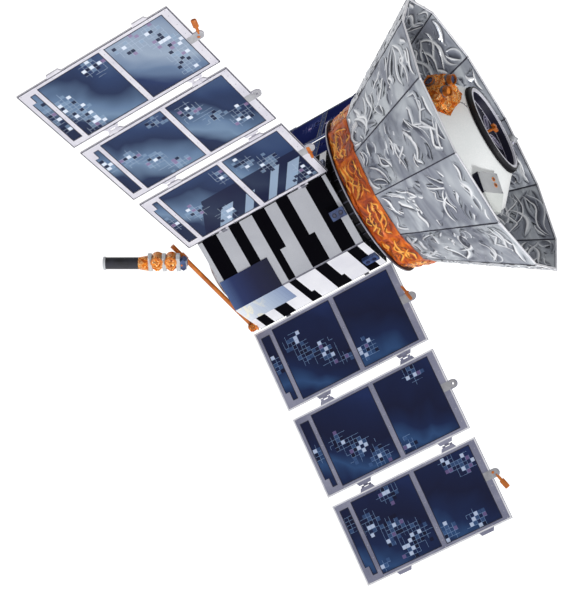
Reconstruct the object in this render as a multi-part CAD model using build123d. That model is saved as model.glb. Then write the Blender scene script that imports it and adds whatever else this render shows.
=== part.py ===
from build123d import *
import math
import os

# A sky survey satellite with its three solar wings, sun shield and aft antenna mast deployed.
# Millimetres. The origin is the centre of the launch ring's aft face.
# +Z runs forward, towards the telescope's mouth. Azimuth 0 is +X and counts towards +Y.

# Launch ring
ring_radius = 380
ring_wall = 50
ring_height = 120
ring_bolt_circle_radius = 355
ring_bolt_count = 12
ring_bolt_hole_radius = 5.5
ring_bolt_depth = 40

# Bus: a prism on six corners, three that carry wings and three between them
wing_azimuths = {"a": -60, "b": 60, "c": 180}
wing_corner_radius = 819
mid_corner_radius = 746
mid_corner_lead = 73.5
deck_thickness = 25
side_panel_thickness = 22

# Mirror radiator, bent round the mid corner between wings a and b
radiator_length = 690
radiator_wide_width = 390
radiator_narrow_width = 348
radiator_thickness = 8

# Sensors near the forward edge of each face
sensor_length = 190
sensor_width = 120
sensor_edge_margin = 4
horizon_sensor_depth = 38
horizon_sensor_along = 0.53
sun_sensor_depth = 46
sun_sensor_along = 0.58

# Interface drum and instrument deck
interface_gap = 201
interface_radius = 580
instrument_deck_thickness = 16
instrument_deck_clearance = 130

# Insulation band and sun shield, both with twelve sides
shield_sides = 12
shield_corner_azimuth = 8
band_aft_clearance = 102
band_fore_clearance = 185
band_length = 314
band_thickness = 12
shield_flare = 760
shield_length = 1236
shield_thickness = 10
rim_width = 26
rim_thickness = 16
rim_overhang = 8
rim_stub_radius = 9
rim_stub_length = 42

# Helium tank with its shoulder and the telescope's mouth
tank_radius = 910
tank_length = 1354
shoulder_length = 300
shoulder_inset = 350
flange_width = 55
mouth_depth = 70
seal_thickness = 30
seal_overhang = 18
flange_thickness = 40
mouth_plate_thickness = 20
leaf_count = 6
leaf_length = 390
leaf_width = 130
leaf_thickness = 8
leaf_start = 70
tee_post_radius = 17
tee_bar_length = 110
tee_bar_width = 32
tee_bar_height = 40
tee_above_flange = 20
small_gap = 0.3

# Radiometers round the tank's shoulder. Each box's outer face has its middle at an azimuth, so far
# outside the tank's wall and behind the mouth; it yaws, leans to the front and turns about its outward axis
radiometer_depth = 150
radiometer_shoulder_clearance = 60
radiometer_reach = radiometer_depth + shoulder_inset - radiometer_shoulder_clearance
leaning_reach = 250
radiometers = {
    "gold": {"azimuth": -70.5, "outside": radiometer_depth, "behind_mouth": 215, "yaw": 0, "lean": 0,
             "turn": 31, "depth": radiometer_reach, "length": 300, "width": 390},
    "grey": {"azimuth": 14, "outside": -14, "behind_mouth": 145, "yaw": -43, "lean": 70,
             "turn": 16, "depth": leaning_reach, "length": 370, "width": 265},
    "rear": {"azimuth": 145, "outside": radiometer_depth, "behind_mouth": 200, "yaw": 0, "lean": 0,
             "turn": 31, "depth": radiometer_reach, "length": 290, "width": 330},
}
horned_radiometers = ("gold", "rear")
horn_radius = 62
horn_wall = 7
horn_length = 70
horn_spacing = 170
horn_offset = -50
horn_inset = 80
port_length = 25
port_along = -53
port_across = -67
faired_radiometers = ("grey", "rear")
fairing_length = 190
fairing_tip_length = 140
fairing_tip_depth = 120
fairing_tip_inset = 110
fairing_tip_shift = 110

# Solar wings: three panels each, hinged to fold on each other against the wide bus face
wing_lag = 5.5
root_gap = 21
panels_per_wing = 3
panel_width = 1064
panel_length = 2021
panel_overreach = 55
panel_gap = 119
panel_thickness = 22
panel_aft_z = 3
edge_bump = 42
aft_bump_centre = 515
fore_bump_margin = 355
bump_length = 200
bump_chamfer = 22
frame_side_margin = 60
frame_aft_margin = 70
strip_side_margin = 100
strip_length = 110
strip_step_width = 110
strip_rib = 70
aft_field_length = 822
mid_rib = 82
frame_fore_margin = 111
cell_plate_thickness = 16

# Launch-lock tabs and pins on the forward edges
tab_along = 490
tab_width = 110
tab_height = 100
tab_overlap = 100
tab_proud = 2
tab_hole_radius = 15
pin_radius = 18
lock_pins = {
    1: {"along": 425, "height": 4, "length": 200, "tilt": 13},
    3: {"along": 608, "height": 80, "length": 200, "tilt": 17},
}

# Hinges between the panels and at the root
fold_axis_offset = 18
fold_barrel_radius = 7
fold_pin_radius = 3
root_axis_along = 25
root_axis_side = 25
root_barrel_radius = 9
root_pin_radius = 4.5
root_arm_inset = 2
root_arm_length = 30
pin_clearance = 0.3
knuckle_length = 60
side_knuckle_length = 36
knuckle_gap = 2
hinge_leaf_length = 60
root_leaf_length = 40
root_knuckle_half_width = 8

# Antenna mast under the aft deck
mast_x = 445
mast_root_y = 602
mast_root_z = 70
mast_length = 1484
mast_tilt = 8.5
mast_radius = 28
mast_eye_radius = 30
mast_eye_width = 44
mast_neck_length = 64
mast_neck_height = 40
mast_pin_radius = 8
bracket_ear_thickness = 14
bracket_ear_gap = 2
bracket_ear_width = 64
bracket_ear_below_pin = 30
bracket_base_thickness = 12
bracket_base_length = 130

# Antenna head on the mast's outer end
head_along_mast = 1279
head_side = 150
head_tilt = 58.8
head_pin_radius = 12
collar_radius = 42
collar_length = 90
block_front = 25
block_back = 60
block_ridge = 20
block_height = 150
block_end_height = 90
block_width = 120
saddle_count = 3
saddle_length = 44
saddle_width = 116
saddle_height = 236
saddle_chamfer = 40
saddle_rise = 12
housing_length = 128
housing_width = 100
housing_depth = 128
housing_chamfer = 45
drum_radius = 75
drum_width = 156
drum_rise = 45
cup_length = 122
cup_radius = 96
antenna_radius = 74
antenna_length = 435

bus_aft_z = ring_height
bus_forward_z = panel_aft_z + panel_length - panel_overreach
bus_length = bus_forward_z - bus_aft_z
deck_underside_z = bus_forward_z + interface_gap
instrument_deck_radius = tank_radius + instrument_deck_clearance
band_aft_radius = tank_radius + band_aft_clearance
shield_aft_radius = tank_radius + band_fore_clearance
shield_rim_radius = shield_aft_radius + shield_flare
shoulder_radius = tank_radius - shoulder_inset
mouth_radius = shoulder_radius - flange_width
band_aft_z = deck_underside_z + instrument_deck_thickness
shield_aft_z = band_aft_z + band_length
shield_rim_z = shield_aft_z + shield_length
tank_forward_z = band_aft_z + tank_length
shoulder_z = tank_forward_z + shoulder_length
flange_z = shoulder_z + seal_thickness
mouth_floor_z = shoulder_z - mouth_depth
fore_field_length = (panel_length - frame_aft_margin - strip_length - strip_rib
                     - aft_field_length - mid_rib - frame_fore_margin)
bump_centres = (aft_bump_centre, panel_length - fore_bump_margin)
cup_start = block_front + saddle_count * saddle_length + (saddle_count - 1) * housing_length

os.makedirs("parts", exist_ok=True)


def save(shape, name):
    export_step(shape, f"parts/{name}.step")


def polar(radius, azimuth):
    angle = math.radians(azimuth)
    return (radius * math.cos(angle), radius * math.sin(angle))


def prism(points, z, height):
    return extrude(Pos(0, 0, z) * Polygon(*points, align=None), amount=height, dir=(0, 0, 1))


def tube(outer_radius, inner_radius, z, height):
    ring = Circle(outer_radius) - Circle(inner_radius)
    return extrude(Pos(0, 0, z) * ring, amount=height)


def disc(radius, z, height):
    return extrude(Pos(0, 0, z) * Circle(radius), amount=height)


# Bus outline: wide faces run from a wing corner to the mid corner, narrow ones from there on
def bus_corners():
    corners = []
    for azimuth in wing_azimuths.values():
        corners.append(polar(wing_corner_radius, azimuth))
        corners.append(polar(mid_corner_radius, azimuth + mid_corner_lead))
    return corners


def edge_frame(start, end):
    length = math.dist(start, end)
    along = ((end[0] - start[0]) / length, (end[1] - start[1]) / length)
    outward = (along[1], -along[0])
    return length, along, outward


def shifted_corner(before, corner, after, distance):
    _, along_in, out_in = edge_frame(before, corner)
    _, _, out_out = edge_frame(corner, after)
    turn = out_in[0] * out_out[0] + out_in[1] * out_out[1]
    scale = distance / (1 + turn)
    return (corner[0] + scale * (out_in[0] + out_out[0]), corner[1] + scale * (out_in[1] + out_out[1]))


def shifted_outline(corners, distance):
    count = len(corners)
    return [shifted_corner(corners[i - 1], corners[i], corners[(i + 1) % count], distance)
            for i in range(count)]


def face_point(corners, index, along, outward):
    start = corners[index]
    _, direction, normal = edge_frame(start, corners[(index + 1) % len(corners)])
    return (start[0] + direction[0] * along + normal[0] * outward,
            start[1] + direction[1] * along + normal[1] * outward)


def face_length(corners, index):
    return math.dist(corners[index], corners[(index + 1) % len(corners)])


def face_block(corners, index, along, width, depth, z, height):
    points = [face_point(corners, index, along - width / 2, 0),
              face_point(corners, index, along + width / 2, 0),
              face_point(corners, index, along + width / 2, depth),
              face_point(corners, index, along - width / 2, depth)]
    return prism(points, z, height)


outline = bus_corners()
inner_outline = shifted_outline(outline, -side_panel_thickness)
wide_faces = (0, 2, 4)
narrow_faces = (1, 3, 5)


def launch_ring():
    ring = tube(ring_radius, ring_radius - ring_wall, 0, ring_height)
    holes = PolarLocations(ring_bolt_circle_radius, ring_bolt_count) * Cylinder(
        ring_bolt_hole_radius, ring_bolt_depth, align=(Align.CENTER, Align.CENTER, Align.MIN))
    return ring - holes


def side_panels(faces):
    z = bus_aft_z + deck_thickness
    height = bus_length - 2 * deck_thickness
    panels = []
    for i in faces:
        j = (i + 1) % len(outline)
        panels.append(prism([outline[i], outline[j], inner_outline[j], inner_outline[i]], z, height))
    return Compound(children=panels)


# Two flat mirrors that meet in a mitre at the mid corner
def mirror_radiator():
    outer = shifted_outline(outline, radiator_thickness)
    wide_start = face_length(outline, 0) - radiator_wide_width
    wide = [face_point(outline, 0, wide_start, 0), outline[1], outer[1],
            face_point(outline, 0, wide_start, radiator_thickness)]
    narrow = [outline[1], face_point(outline, 1, radiator_narrow_width, 0),
              face_point(outline, 1, radiator_narrow_width, radiator_thickness), outer[1]]
    return Compound(children=[prism(points, bus_aft_z, radiator_length) for points in (wide, narrow)])


def face_sensors(faces, share, depth):
    z = bus_forward_z - sensor_edge_margin - sensor_length
    boxes = []
    for i in faces:
        along = share * face_length(outline, i)
        boxes.append(face_block(outline, i, along, sensor_width, depth, z, sensor_length))
    return Compound(children=boxes)


# Twelve-sided shells
def twelve_corners(radius):
    step = 360 / shield_sides
    return [polar(radius, shield_corner_azimuth + step * i) for i in range(shield_sides)]


def facet_ring(aft_radius, forward_radius, z, length, thickness):
    ends = [(aft_radius, z), (forward_radius, z + length)]
    facets = []
    for i in range(shield_sides):
        j = (i + 1) % shield_sides
        sections = []
        for radius, end_z in ends:
            outer = twelve_corners(radius)
            inner = twelve_corners(radius - thickness)
            sections.append(Pos(0, 0, end_z) * Polygon(outer[i], outer[j], inner[j], inner[i], align=None))
        facets.append(loft(sections, ruled=True))
    return Compound(children=facets)


def shield_rim():
    outer = Polygon(*twelve_corners(shield_rim_radius + rim_overhang), align=None)
    inner = Polygon(*twelve_corners(shield_rim_radius + rim_overhang - rim_width), align=None)
    rim = extrude(Pos(0, 0, shield_rim_z) * (outer - inner), amount=rim_thickness)
    stub_start = shield_rim_radius + rim_overhang - rim_width / 2
    for i in range(shield_sides):
        azimuth = shield_corner_azimuth + 360 / shield_sides * i
        x, y = polar(stub_start, azimuth)
        stub = Cylinder(rim_stub_radius, rim_stub_length, align=(Align.CENTER, Align.CENTER, Align.MIN))
        place = Location((x, y, shield_rim_z + rim_stub_radius), (0, 90, azimuth))
        rim += place * stub
    return rim


# Tank and telescope mouth
def tank_shape(clearance):
    body = disc(tank_radius + clearance, band_aft_z, tank_length)
    low = Pos(0, 0, tank_forward_z) * Circle(tank_radius + clearance)
    high = Pos(0, 0, shoulder_z) * Circle(shoulder_radius + clearance)
    return body + loft([low, high])


def helium_tank():
    return tank_shape(0) - disc(mouth_radius, mouth_floor_z, mouth_depth)


# Mouth plate with a ring of flat leaves that point at the middle
def mouth_plate():
    plate = disc(mouth_radius - small_gap, mouth_floor_z, mouth_plate_thickness)
    half = leaf_width / 2
    radius = (leaf_length ** 2 / 4 + half ** 2) / (2 * half)
    leaf = Pos(0, radius - half) * Circle(radius) & Pos(0, half - radius) * Circle(radius)
    middle = leaf_start + leaf_length / 2
    leaf = extrude(Pos(middle, 0, mouth_floor_z + mouth_plate_thickness) * leaf, amount=leaf_thickness)
    leaves = [Rot(0, 0, 360 / leaf_count * i) * leaf for i in range(leaf_count)]
    return Compound(children=[plate] + leaves)


def mouth_tee():
    foot = mouth_floor_z + mouth_plate_thickness
    top = flange_z + flange_thickness + tee_above_flange
    bars = Box(tee_bar_length, tee_bar_width, tee_bar_height) + Box(tee_bar_width, tee_bar_length, tee_bar_height)
    return Pos(0, 0, top - tee_bar_height / 2) * bars + disc(tee_post_radius, foot, top - foot)


# Radiometers. Radiometer space starts at the middle of the box's outer face: x outward, y across,
# z along the box's own length
def radiometer_place(name):
    size = radiometers[name]
    face = Pos(tank_radius + size["outside"], 0, shoulder_z - size["behind_mouth"])
    return Rot(0, 0, size["azimuth"]) * face * Rot(0, 0, size["yaw"]) * Rot(0, -size["lean"], 0) * Rot(
        -size["turn"], 0, 0)


def radiometer_box(name):
    size = radiometers[name]
    box = Box(size["depth"], size["width"], size["length"], align=(Align.MAX, Align.CENTER, Align.CENTER))
    return radiometer_place(name) * box - tank_shape(small_gap)


def radiometer_fairing(name):
    size = radiometers[name]
    base = Plane(origin=(0, size["width"] / 2, 0), x_dir=(1, 0, 0), z_dir=(0, 1, 0))
    tip = base.offset(fairing_length)
    base_face = base * (Pos(-size["depth"] / 2, 0) * Rectangle(size["depth"], size["length"]))
    tip_face = tip * (Pos(-fairing_tip_inset - fairing_tip_depth / 2, -fairing_tip_shift) * Rectangle(
        fairing_tip_depth, fairing_tip_length))
    return radiometer_place(name) * loft([base_face, tip_face], ruled=True) - tank_shape(small_gap)


def horn(name, across):
    cup = tube(horn_radius, horn_radius - horn_wall, 0, horn_length) + disc(horn_radius, 0, horn_wall)
    return radiometer_place(name) * (Pos(-horn_inset, across, radiometers[name]["length"] / 2) * cup)


def port(name):
    cup = tube(horn_radius, horn_radius - horn_wall, 0, port_length) + disc(horn_radius, 0, horn_wall)
    return radiometer_place(name) * (Pos(0, port_across, port_along) * Rot(0, 90, 0) * cup)


def radiometer_horns():
    horns = [horn(name, horn_offset + side * horn_spacing / 2)
             for name in horned_radiometers for side in (-1, 1)]
    return Compound(children=horns + [port(name) for name in horned_radiometers])


# Solar wings. Wing space: x runs out along the wing from its corner, y is the side that
# counts up in azimuth, z is the satellite's own
def wing_place(letter):
    azimuth = wing_azimuths[letter]
    x, y = polar(wing_corner_radius, azimuth)
    return Location((x, y, 0), (0, 0, azimuth - wing_lag))


def panel_start(number):
    return root_gap + (number - 1) * (panel_width + panel_gap)


def bumped_edge(x, depth):
    points = [(x, 0)]
    for centre in bump_centres:
        low = centre - bump_length / 2
        high = centre + bump_length / 2
        points += [(x, low), (x + depth, low + bump_chamfer), (x + depth, high - bump_chamfer), (x, high)]
    points.append((x, panel_length))
    return points


def panel_outline(number):
    root = [(0, 0), (0, panel_length)] if number == 1 else bumped_edge(0, -edge_bump)
    outer = bumped_edge(panel_width, edge_bump)
    return Polygon(*(root + outer[::-1]), align=None)


def window(x0, x1, z0, z1):
    return Pos((x0 + x1) / 2, (z0 + z1) / 2) * Rectangle(x1 - x0, z1 - z0)


def panel_windows():
    x0 = frame_side_margin
    x1 = panel_width - frame_side_margin
    strip_end = frame_aft_margin + strip_length
    strip_x1 = panel_width - strip_side_margin
    aft_start = strip_end + strip_rib
    aft_end = aft_start + aft_field_length
    fore_start = aft_end + mid_rib
    strip = window(strip_side_margin, strip_x1 - strip_step_width, frame_aft_margin, strip_end)
    strip += window(strip_x1 - strip_step_width, strip_x1, strip_end - strip_length / 2, strip_end)
    return [strip, window(x0, x1, aft_start, aft_end),
            window(x0, x1, fore_start, fore_start + fore_field_length)]


def upright(sketch, thickness):
    return extrude(Plane.XZ * sketch, amount=thickness / 2, both=True)


def panel_tab(number):
    round_centre = panel_length + tab_height - tab_width / 2
    tab = window(tab_along - tab_width / 2, tab_along + tab_width / 2, panel_length - tab_overlap, round_centre)
    tab += Pos(tab_along, round_centre) * Circle(tab_width / 2)
    if number not in lock_pins:
        tab -= Pos(tab_along, round_centre) * Circle(tab_hole_radius)
    return upright(tab, panel_thickness + 2 * tab_proud)


def upright_cylinder(x, y, z, radius, length):
    return Pos(x, y, z) * Cylinder(radius, length)


def block(x0, x1, y0, y1, z, length):
    return Pos((x0 + x1) / 2, (y0 + y1) / 2, z) * Box(x1 - x0, abs(y1 - y0), length)


def side_knuckle_centres(centre):
    shift = (knuckle_length + side_knuckle_length) / 2 + knuckle_gap
    return (centre - shift, centre + shift)


# The inner panel's middle knuckle carries the pin. Side is 1 or -1 in y
def inner_knuckle(axis_x, side, centre):
    axis_y = side * fold_axis_offset
    face = side * panel_thickness / 2
    leaf = block(axis_x - hinge_leaf_length, axis_x, face, axis_y, centre, knuckle_length)
    barrel = upright_cylinder(axis_x, axis_y, centre, fold_barrel_radius, knuckle_length)
    pin_full = knuckle_length + 2 * (side_knuckle_length + knuckle_gap)
    return leaf + barrel + upright_cylinder(axis_x, axis_y, centre, fold_pin_radius, pin_full)


def outer_knuckles(axis_x, side, centre):
    axis_y = side * fold_axis_offset
    face = side * panel_thickness / 2
    bore = fold_pin_radius + pin_clearance
    knuckles = []
    for z in side_knuckle_centres(centre):
        leaf = block(axis_x, axis_x + hinge_leaf_length, face, axis_y, z, side_knuckle_length)
        barrel = upright_cylinder(axis_x, axis_y, z, fold_barrel_radius, side_knuckle_length)
        knuckles.append(leaf + barrel - upright_cylinder(axis_x, axis_y, z, bore, side_knuckle_length))
    return knuckles


def root_knuckles(centre):
    bore = root_pin_radius + pin_clearance
    face = panel_thickness / 2
    x = root_axis_along
    knuckles = []
    for z in side_knuckle_centres(centre):
        arm = block(root_gap, x + root_knuckle_half_width, face, root_axis_side, z, side_knuckle_length)
        leaf = block(root_gap, root_gap + root_leaf_length, face, face + root_barrel_radius / 2, z,
                     side_knuckle_length)
        barrel = upright_cylinder(x, root_axis_side, z, root_barrel_radius, side_knuckle_length)
        hole = upright_cylinder(x, root_axis_side, z, bore, side_knuckle_length)
        knuckles.append(arm + leaf + barrel - hole)
    return knuckles


def fold_axis_x(number):
    return panel_start(number) + panel_width + panel_gap / 2


# Panel 1 folds panel 2 over its -y side, and panel 2 folds panel 3 over its +y side
def fold_side(number):
    return -1 if number == 1 else 1


def panel_frame(letter, number):
    flat = panel_outline(number)
    for opening in panel_windows():
        flat -= opening
    frame = Pos(panel_start(number), 0, 0) * (upright(flat, panel_thickness) + panel_tab(number))
    if number in lock_pins:
        frame -= lock_pin_shape(number, pin_radius + small_gap)
    for centre in bump_centres:
        if number == 1:
            for knuckle in root_knuckles(centre):
                frame += knuckle
        if number > 1:
            for knuckle in outer_knuckles(fold_axis_x(number - 1), fold_side(number - 1), centre):
                frame += knuckle
        if number < panels_per_wing:
            frame += inner_knuckle(fold_axis_x(number), fold_side(number), centre)
    return wing_place(letter) * (Pos(0, 0, panel_aft_z) * frame)


def panel_cells(letter, number):
    plates = [Pos(panel_start(number), 0, panel_aft_z) * upright(opening, cell_plate_thickness)
              for opening in panel_windows()]
    return Compound(children=[wing_place(letter) * plate for plate in plates])


# Lock pins lean forward and outward through a groove of the tab
def lock_pin_shape(number, radius):
    pin = lock_pins[number]
    rod = Rot(0, 90 - pin["tilt"], 0) * Cylinder(radius, pin["length"])
    return Pos(panel_start(number) + pin["along"], 0, panel_length + pin["height"]) * rod


def lock_pin(letter, number):
    return wing_place(letter) * (Pos(0, 0, panel_aft_z) * lock_pin_shape(number, pin_radius))


# Root brackets stand on the wide face beside each wing corner
def root_bracket(letter, index, centre):
    corner = outline[index]
    _, along, outward = edge_frame(corner, outline[(index + 1) % len(outline)])
    azimuth = math.radians(wing_azimuths[letter] - wing_lag)
    axis = (corner[0] + root_axis_along * math.cos(azimuth) - root_axis_side * math.sin(azimuth),
            corner[1] + root_axis_along * math.sin(azimuth) + root_axis_side * math.cos(azimuth))
    height = (axis[0] - corner[0]) * outward[0] + (axis[1] - corner[1]) * outward[1]
    points = [face_point(outline, index, root_arm_inset, 0),
              face_point(outline, index, root_arm_length, 0),
              face_point(outline, index, root_arm_inset + root_barrel_radius, height),
              face_point(outline, index, root_arm_inset, height)]
    z = panel_aft_z + centre
    arm = prism(points, z - knuckle_length / 2, knuckle_length)
    barrel = upright_cylinder(axis[0], axis[1], z, root_barrel_radius, knuckle_length)
    pin_full = knuckle_length + 2 * (side_knuckle_length + knuckle_gap)
    return arm + barrel + upright_cylinder(axis[0], axis[1], z, root_pin_radius, pin_full)


# Mast. Mast space: origin at the root pin, x across, y out along the mast, z up
mast_place = Location((mast_x, mast_root_y, mast_root_z), (mast_tilt, 0, 180))


def cross_cylinder(x, radius, length):
    return Pos(x, 0, 0) * (Rot(0, 90, 0) * Cylinder(radius, length))


def mast_bracket():
    ear_inner = mast_eye_width / 2 + bracket_ear_gap
    ear_z0 = mast_root_z - bracket_ear_below_pin
    base_z0 = bus_aft_z - bracket_base_thickness
    base_width = 2 * (ear_inner + bracket_ear_thickness) + 2 * bracket_ear_thickness
    bracket = Pos(mast_x, mast_root_y, base_z0 + bracket_base_thickness / 2) * Box(
        base_width, bracket_base_length, bracket_base_thickness)
    for side in (-1, 1):
        x = mast_x + side * (ear_inner + bracket_ear_thickness / 2)
        bracket += Pos(x, mast_root_y, (ear_z0 + base_z0) / 2) * Box(
            bracket_ear_thickness, bracket_ear_width, base_z0 - ear_z0)
    pin_length_full = 2 * (ear_inner + bracket_ear_thickness)
    pin = Pos(mast_x, mast_root_y, mast_root_z) * cross_cylinder(0, mast_pin_radius, pin_length_full)
    return bracket + pin


def mast_rod():
    rod = Rot(-90, 0, 0) * Cylinder(mast_radius, mast_length - mast_neck_length,
                                    align=(Align.CENTER, Align.CENTER, Align.MIN))
    rod = Pos(0, mast_neck_length, 0) * rod
    rod += Pos(0, mast_neck_length / 2, 0) * Box(mast_eye_width, mast_neck_length, mast_neck_height)
    rod += cross_cylinder(0, mast_eye_radius, mast_eye_width)
    rod -= cross_cylinder(0, mast_pin_radius + pin_clearance, 2 * mast_eye_width)
    collar = Rot(-90, 0, 0) * Cylinder(collar_radius, collar_length)
    rod += Pos(0, head_along_mast, 0) * collar
    pin_end = head_side + block_width / 2
    pin = cross_cylinder(-pin_end / 2, head_pin_radius, pin_end)
    rod += Pos(0, head_along_mast, 0) * pin
    return mast_place * rod


# Antenna head. Head space: origin on the head's pin, y out along the head, z up
head_pin_y = mast_root_y - head_along_mast * math.cos(math.radians(mast_tilt))
head_pin_z = mast_root_z - head_along_mast * math.sin(math.radians(mast_tilt))
head_place = Location((mast_x + head_side, head_pin_y, head_pin_z), (head_tilt, 0, 180))


def along_head(radius, start, length):
    rod = Rot(-90, 0, 0) * Cylinder(radius, length, align=(Align.CENTER, Align.CENTER, Align.MIN))
    return Pos(0, start, 0) * rod


def across_head(points, width):
    return extrude(Plane.YZ * Polygon(*points, align=None), amount=width / 2, both=True)


def antenna_block():
    end = block_end_height / 2
    ridge = block_height / 2
    points = [(-block_back, -end), (-block_ridge, -ridge), (block_front, -end),
              (block_front, end), (-block_ridge, ridge), (-block_back, end)]
    return head_place * (across_head(points, block_width)
                         - cross_cylinder(0, head_pin_radius + pin_clearance, 2 * block_width))


def saddle_start(number):
    return block_front + number * (saddle_length + housing_length)


def drum_shape(number, radius):
    middle = saddle_start(number) + saddle_length + housing_length / 2
    return Pos(0, 0, drum_rise) * (Pos(0, middle, 0) * cross_cylinder(0, radius, drum_width))


def all_drums(radius):
    return [drum_shape(number, radius) for number in range(saddle_count - 1)]


# White saddles: upright plates with their corners cut, hollowed for the drums beside them
def antenna_clamps():
    x = saddle_width / 2
    z = saddle_height / 2
    cut = saddle_chamfer
    profile = Polygon((-x, -z + cut), (-x + cut, -z), (x - cut, -z), (x, -z + cut), (x, z - cut),
                      (x - cut, z), (-x + cut, z), (-x, z - cut), align=None)
    plate = extrude(Plane.XZ * (Pos(0, saddle_rise) * profile), amount=-saddle_length)
    saddles = []
    for number in range(saddle_count):
        saddle = Pos(0, saddle_start(number), 0) * plate
        for drum in all_drums(drum_radius + small_gap):
            saddle -= drum
        saddles.append(head_place * saddle)
    return Compound(children=saddles)


# Drums lie across the head, each in a housing between two saddles
def antenna_drums():
    top = drum_rise
    bottom = top - housing_depth
    pieces = [head_place * drum for drum in all_drums(drum_radius)]
    for number in range(saddle_count - 1):
        start = saddle_start(number) + saddle_length
        end = start + housing_length
        points = [(start, bottom + housing_chamfer), (start + housing_chamfer, bottom),
                  (end - housing_chamfer, bottom), (end, bottom + housing_chamfer), (end, top), (start, top)]
        housing = across_head(points, housing_width) - drum_shape(number, drum_radius + small_gap)
        pieces.append(head_place * housing)
    return Compound(children=pieces)


def antenna_cup():
    plane_start = Plane(origin=(0, cup_start, 0), x_dir=(1, 0, 0), z_dir=(0, 1, 0))
    plane_end = plane_start.offset(cup_length)
    return head_place * loft([plane_start * Circle(cup_radius), plane_end * Circle(antenna_radius)])


def antenna_tube():
    return head_place * along_head(antenna_radius, cup_start + cup_length, antenna_length)


def build_bus():
    save(launch_ring(), "launch_ring")
    save(prism(outline, bus_aft_z, deck_thickness), "aft_deck")
    save(side_panels(wide_faces), "side_panels_wide")
    save(side_panels(narrow_faces), "side_panels_narrow")
    save(prism(outline, bus_forward_z - deck_thickness, deck_thickness), "forward_deck")
    save(mirror_radiator(), "mirror_radiator")
    save(face_sensors(wide_faces, horizon_sensor_along, horizon_sensor_depth), "horizon_sensors")
    save(face_sensors(narrow_faces, sun_sensor_along, sun_sensor_depth), "sun_sensors")
    brackets = [root_bracket(letter, index, centre)
                for letter, index in zip(wing_azimuths, wide_faces) for centre in bump_centres]
    save(Compound(children=brackets), "root_brackets")


def build_instruments():
    save(disc(interface_radius, bus_forward_z, interface_gap), "interface_drum")
    save(disc(instrument_deck_radius, deck_underside_z, instrument_deck_thickness), "instrument_deck")
    save(facet_ring(band_aft_radius, shield_aft_radius, band_aft_z, band_length, band_thickness),
         "blanket_band")
    save(facet_ring(shield_aft_radius, shield_rim_radius, shield_aft_z, shield_length, shield_thickness),
         "sun_shield")
    save(shield_rim(), "shield_rim")
    save(helium_tank(), "helium_tank")
    save(tube(shoulder_radius + seal_overhang, mouth_radius, shoulder_z, seal_thickness), "mouth_seal")
    save(tube(shoulder_radius, mouth_radius, flange_z, flange_thickness), "mouth_flange")
    save(mouth_plate(), "mouth_plate")
    save(mouth_tee(), "mouth_tee")
    for name in radiometers:
        save(radiometer_box(name), f"radiometer_{name}")
    save(Compound(children=[radiometer_fairing(name) for name in faired_radiometers]),
         "radiometer_fairings")
    save(radiometer_horns(), "radiometer_horns")


def build_wings():
    for letter in wing_azimuths:
        for number in range(1, panels_per_wing + 1):
            save(panel_frame(letter, number), f"wing_{letter}_frame_{number}")
            save(panel_cells(letter, number), f"wing_{letter}_cells_{number}")
            if number in lock_pins:
                save(lock_pin(letter, number), f"wing_{letter}_pin_{number}")


def build_mast():
    save(mast_bracket(), "mast_bracket")
    save(mast_rod(), "mast_rod")
    save(antenna_block(), "antenna_block")
    save(antenna_clamps(), "antenna_clamps")
    save(antenna_drums(), "antenna_drums")
    save(antenna_cup(), "antenna_cup")
    save(antenna_tube(), "antenna_tube")


build_bus()
build_instruments()
build_wings()
build_mast()
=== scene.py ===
import math
import random

import bmesh
import bpy
from mathutils import Matrix, Vector, noise


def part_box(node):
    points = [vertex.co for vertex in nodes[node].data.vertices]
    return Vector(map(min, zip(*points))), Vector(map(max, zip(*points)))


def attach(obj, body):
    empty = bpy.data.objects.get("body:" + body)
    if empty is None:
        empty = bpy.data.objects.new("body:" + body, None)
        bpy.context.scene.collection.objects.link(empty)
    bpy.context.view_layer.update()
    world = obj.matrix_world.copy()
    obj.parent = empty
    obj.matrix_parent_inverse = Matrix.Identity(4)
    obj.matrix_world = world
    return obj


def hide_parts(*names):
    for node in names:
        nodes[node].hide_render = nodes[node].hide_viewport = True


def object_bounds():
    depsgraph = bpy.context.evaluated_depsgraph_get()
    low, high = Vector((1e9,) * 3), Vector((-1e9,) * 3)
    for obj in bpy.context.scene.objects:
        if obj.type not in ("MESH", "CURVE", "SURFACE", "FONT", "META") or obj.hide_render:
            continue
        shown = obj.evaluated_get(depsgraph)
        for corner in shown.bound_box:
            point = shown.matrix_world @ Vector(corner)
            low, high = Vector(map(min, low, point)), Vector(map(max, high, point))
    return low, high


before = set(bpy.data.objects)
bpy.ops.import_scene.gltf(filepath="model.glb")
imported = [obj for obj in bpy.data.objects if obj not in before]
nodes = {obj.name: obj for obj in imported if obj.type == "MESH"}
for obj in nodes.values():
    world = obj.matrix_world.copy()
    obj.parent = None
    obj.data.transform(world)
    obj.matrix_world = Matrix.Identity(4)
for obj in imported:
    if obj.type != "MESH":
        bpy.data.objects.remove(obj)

box_at_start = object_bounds()
scene = bpy.context.scene

# Without a seed, the swirl of the foil's crumples would start from the clock and differ at every run
noise.seed_set(1)

# Metres. The part's own frame: +Z forward, azimuth 0 is +X and counts towards +Y
wing_azimuths = {"a": -60, "b": 60, "c": 180}
wing_lag = 5.5
wing_corner_radius = 0.819
mid_corner_radius = 0.746
mid_corner_lead = 73.5
panel_root_gap = 0.021
panel_width = 1.064
panel_pitch = 1.183
panel_aft_z = 0.003
panel_length = 2.021
panel_half_thickness = 0.011
cell_half_thickness = 0.008
shield_sides = 12
facet_step = 360 / shield_sides
shield_corner_azimuth = 8

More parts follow.
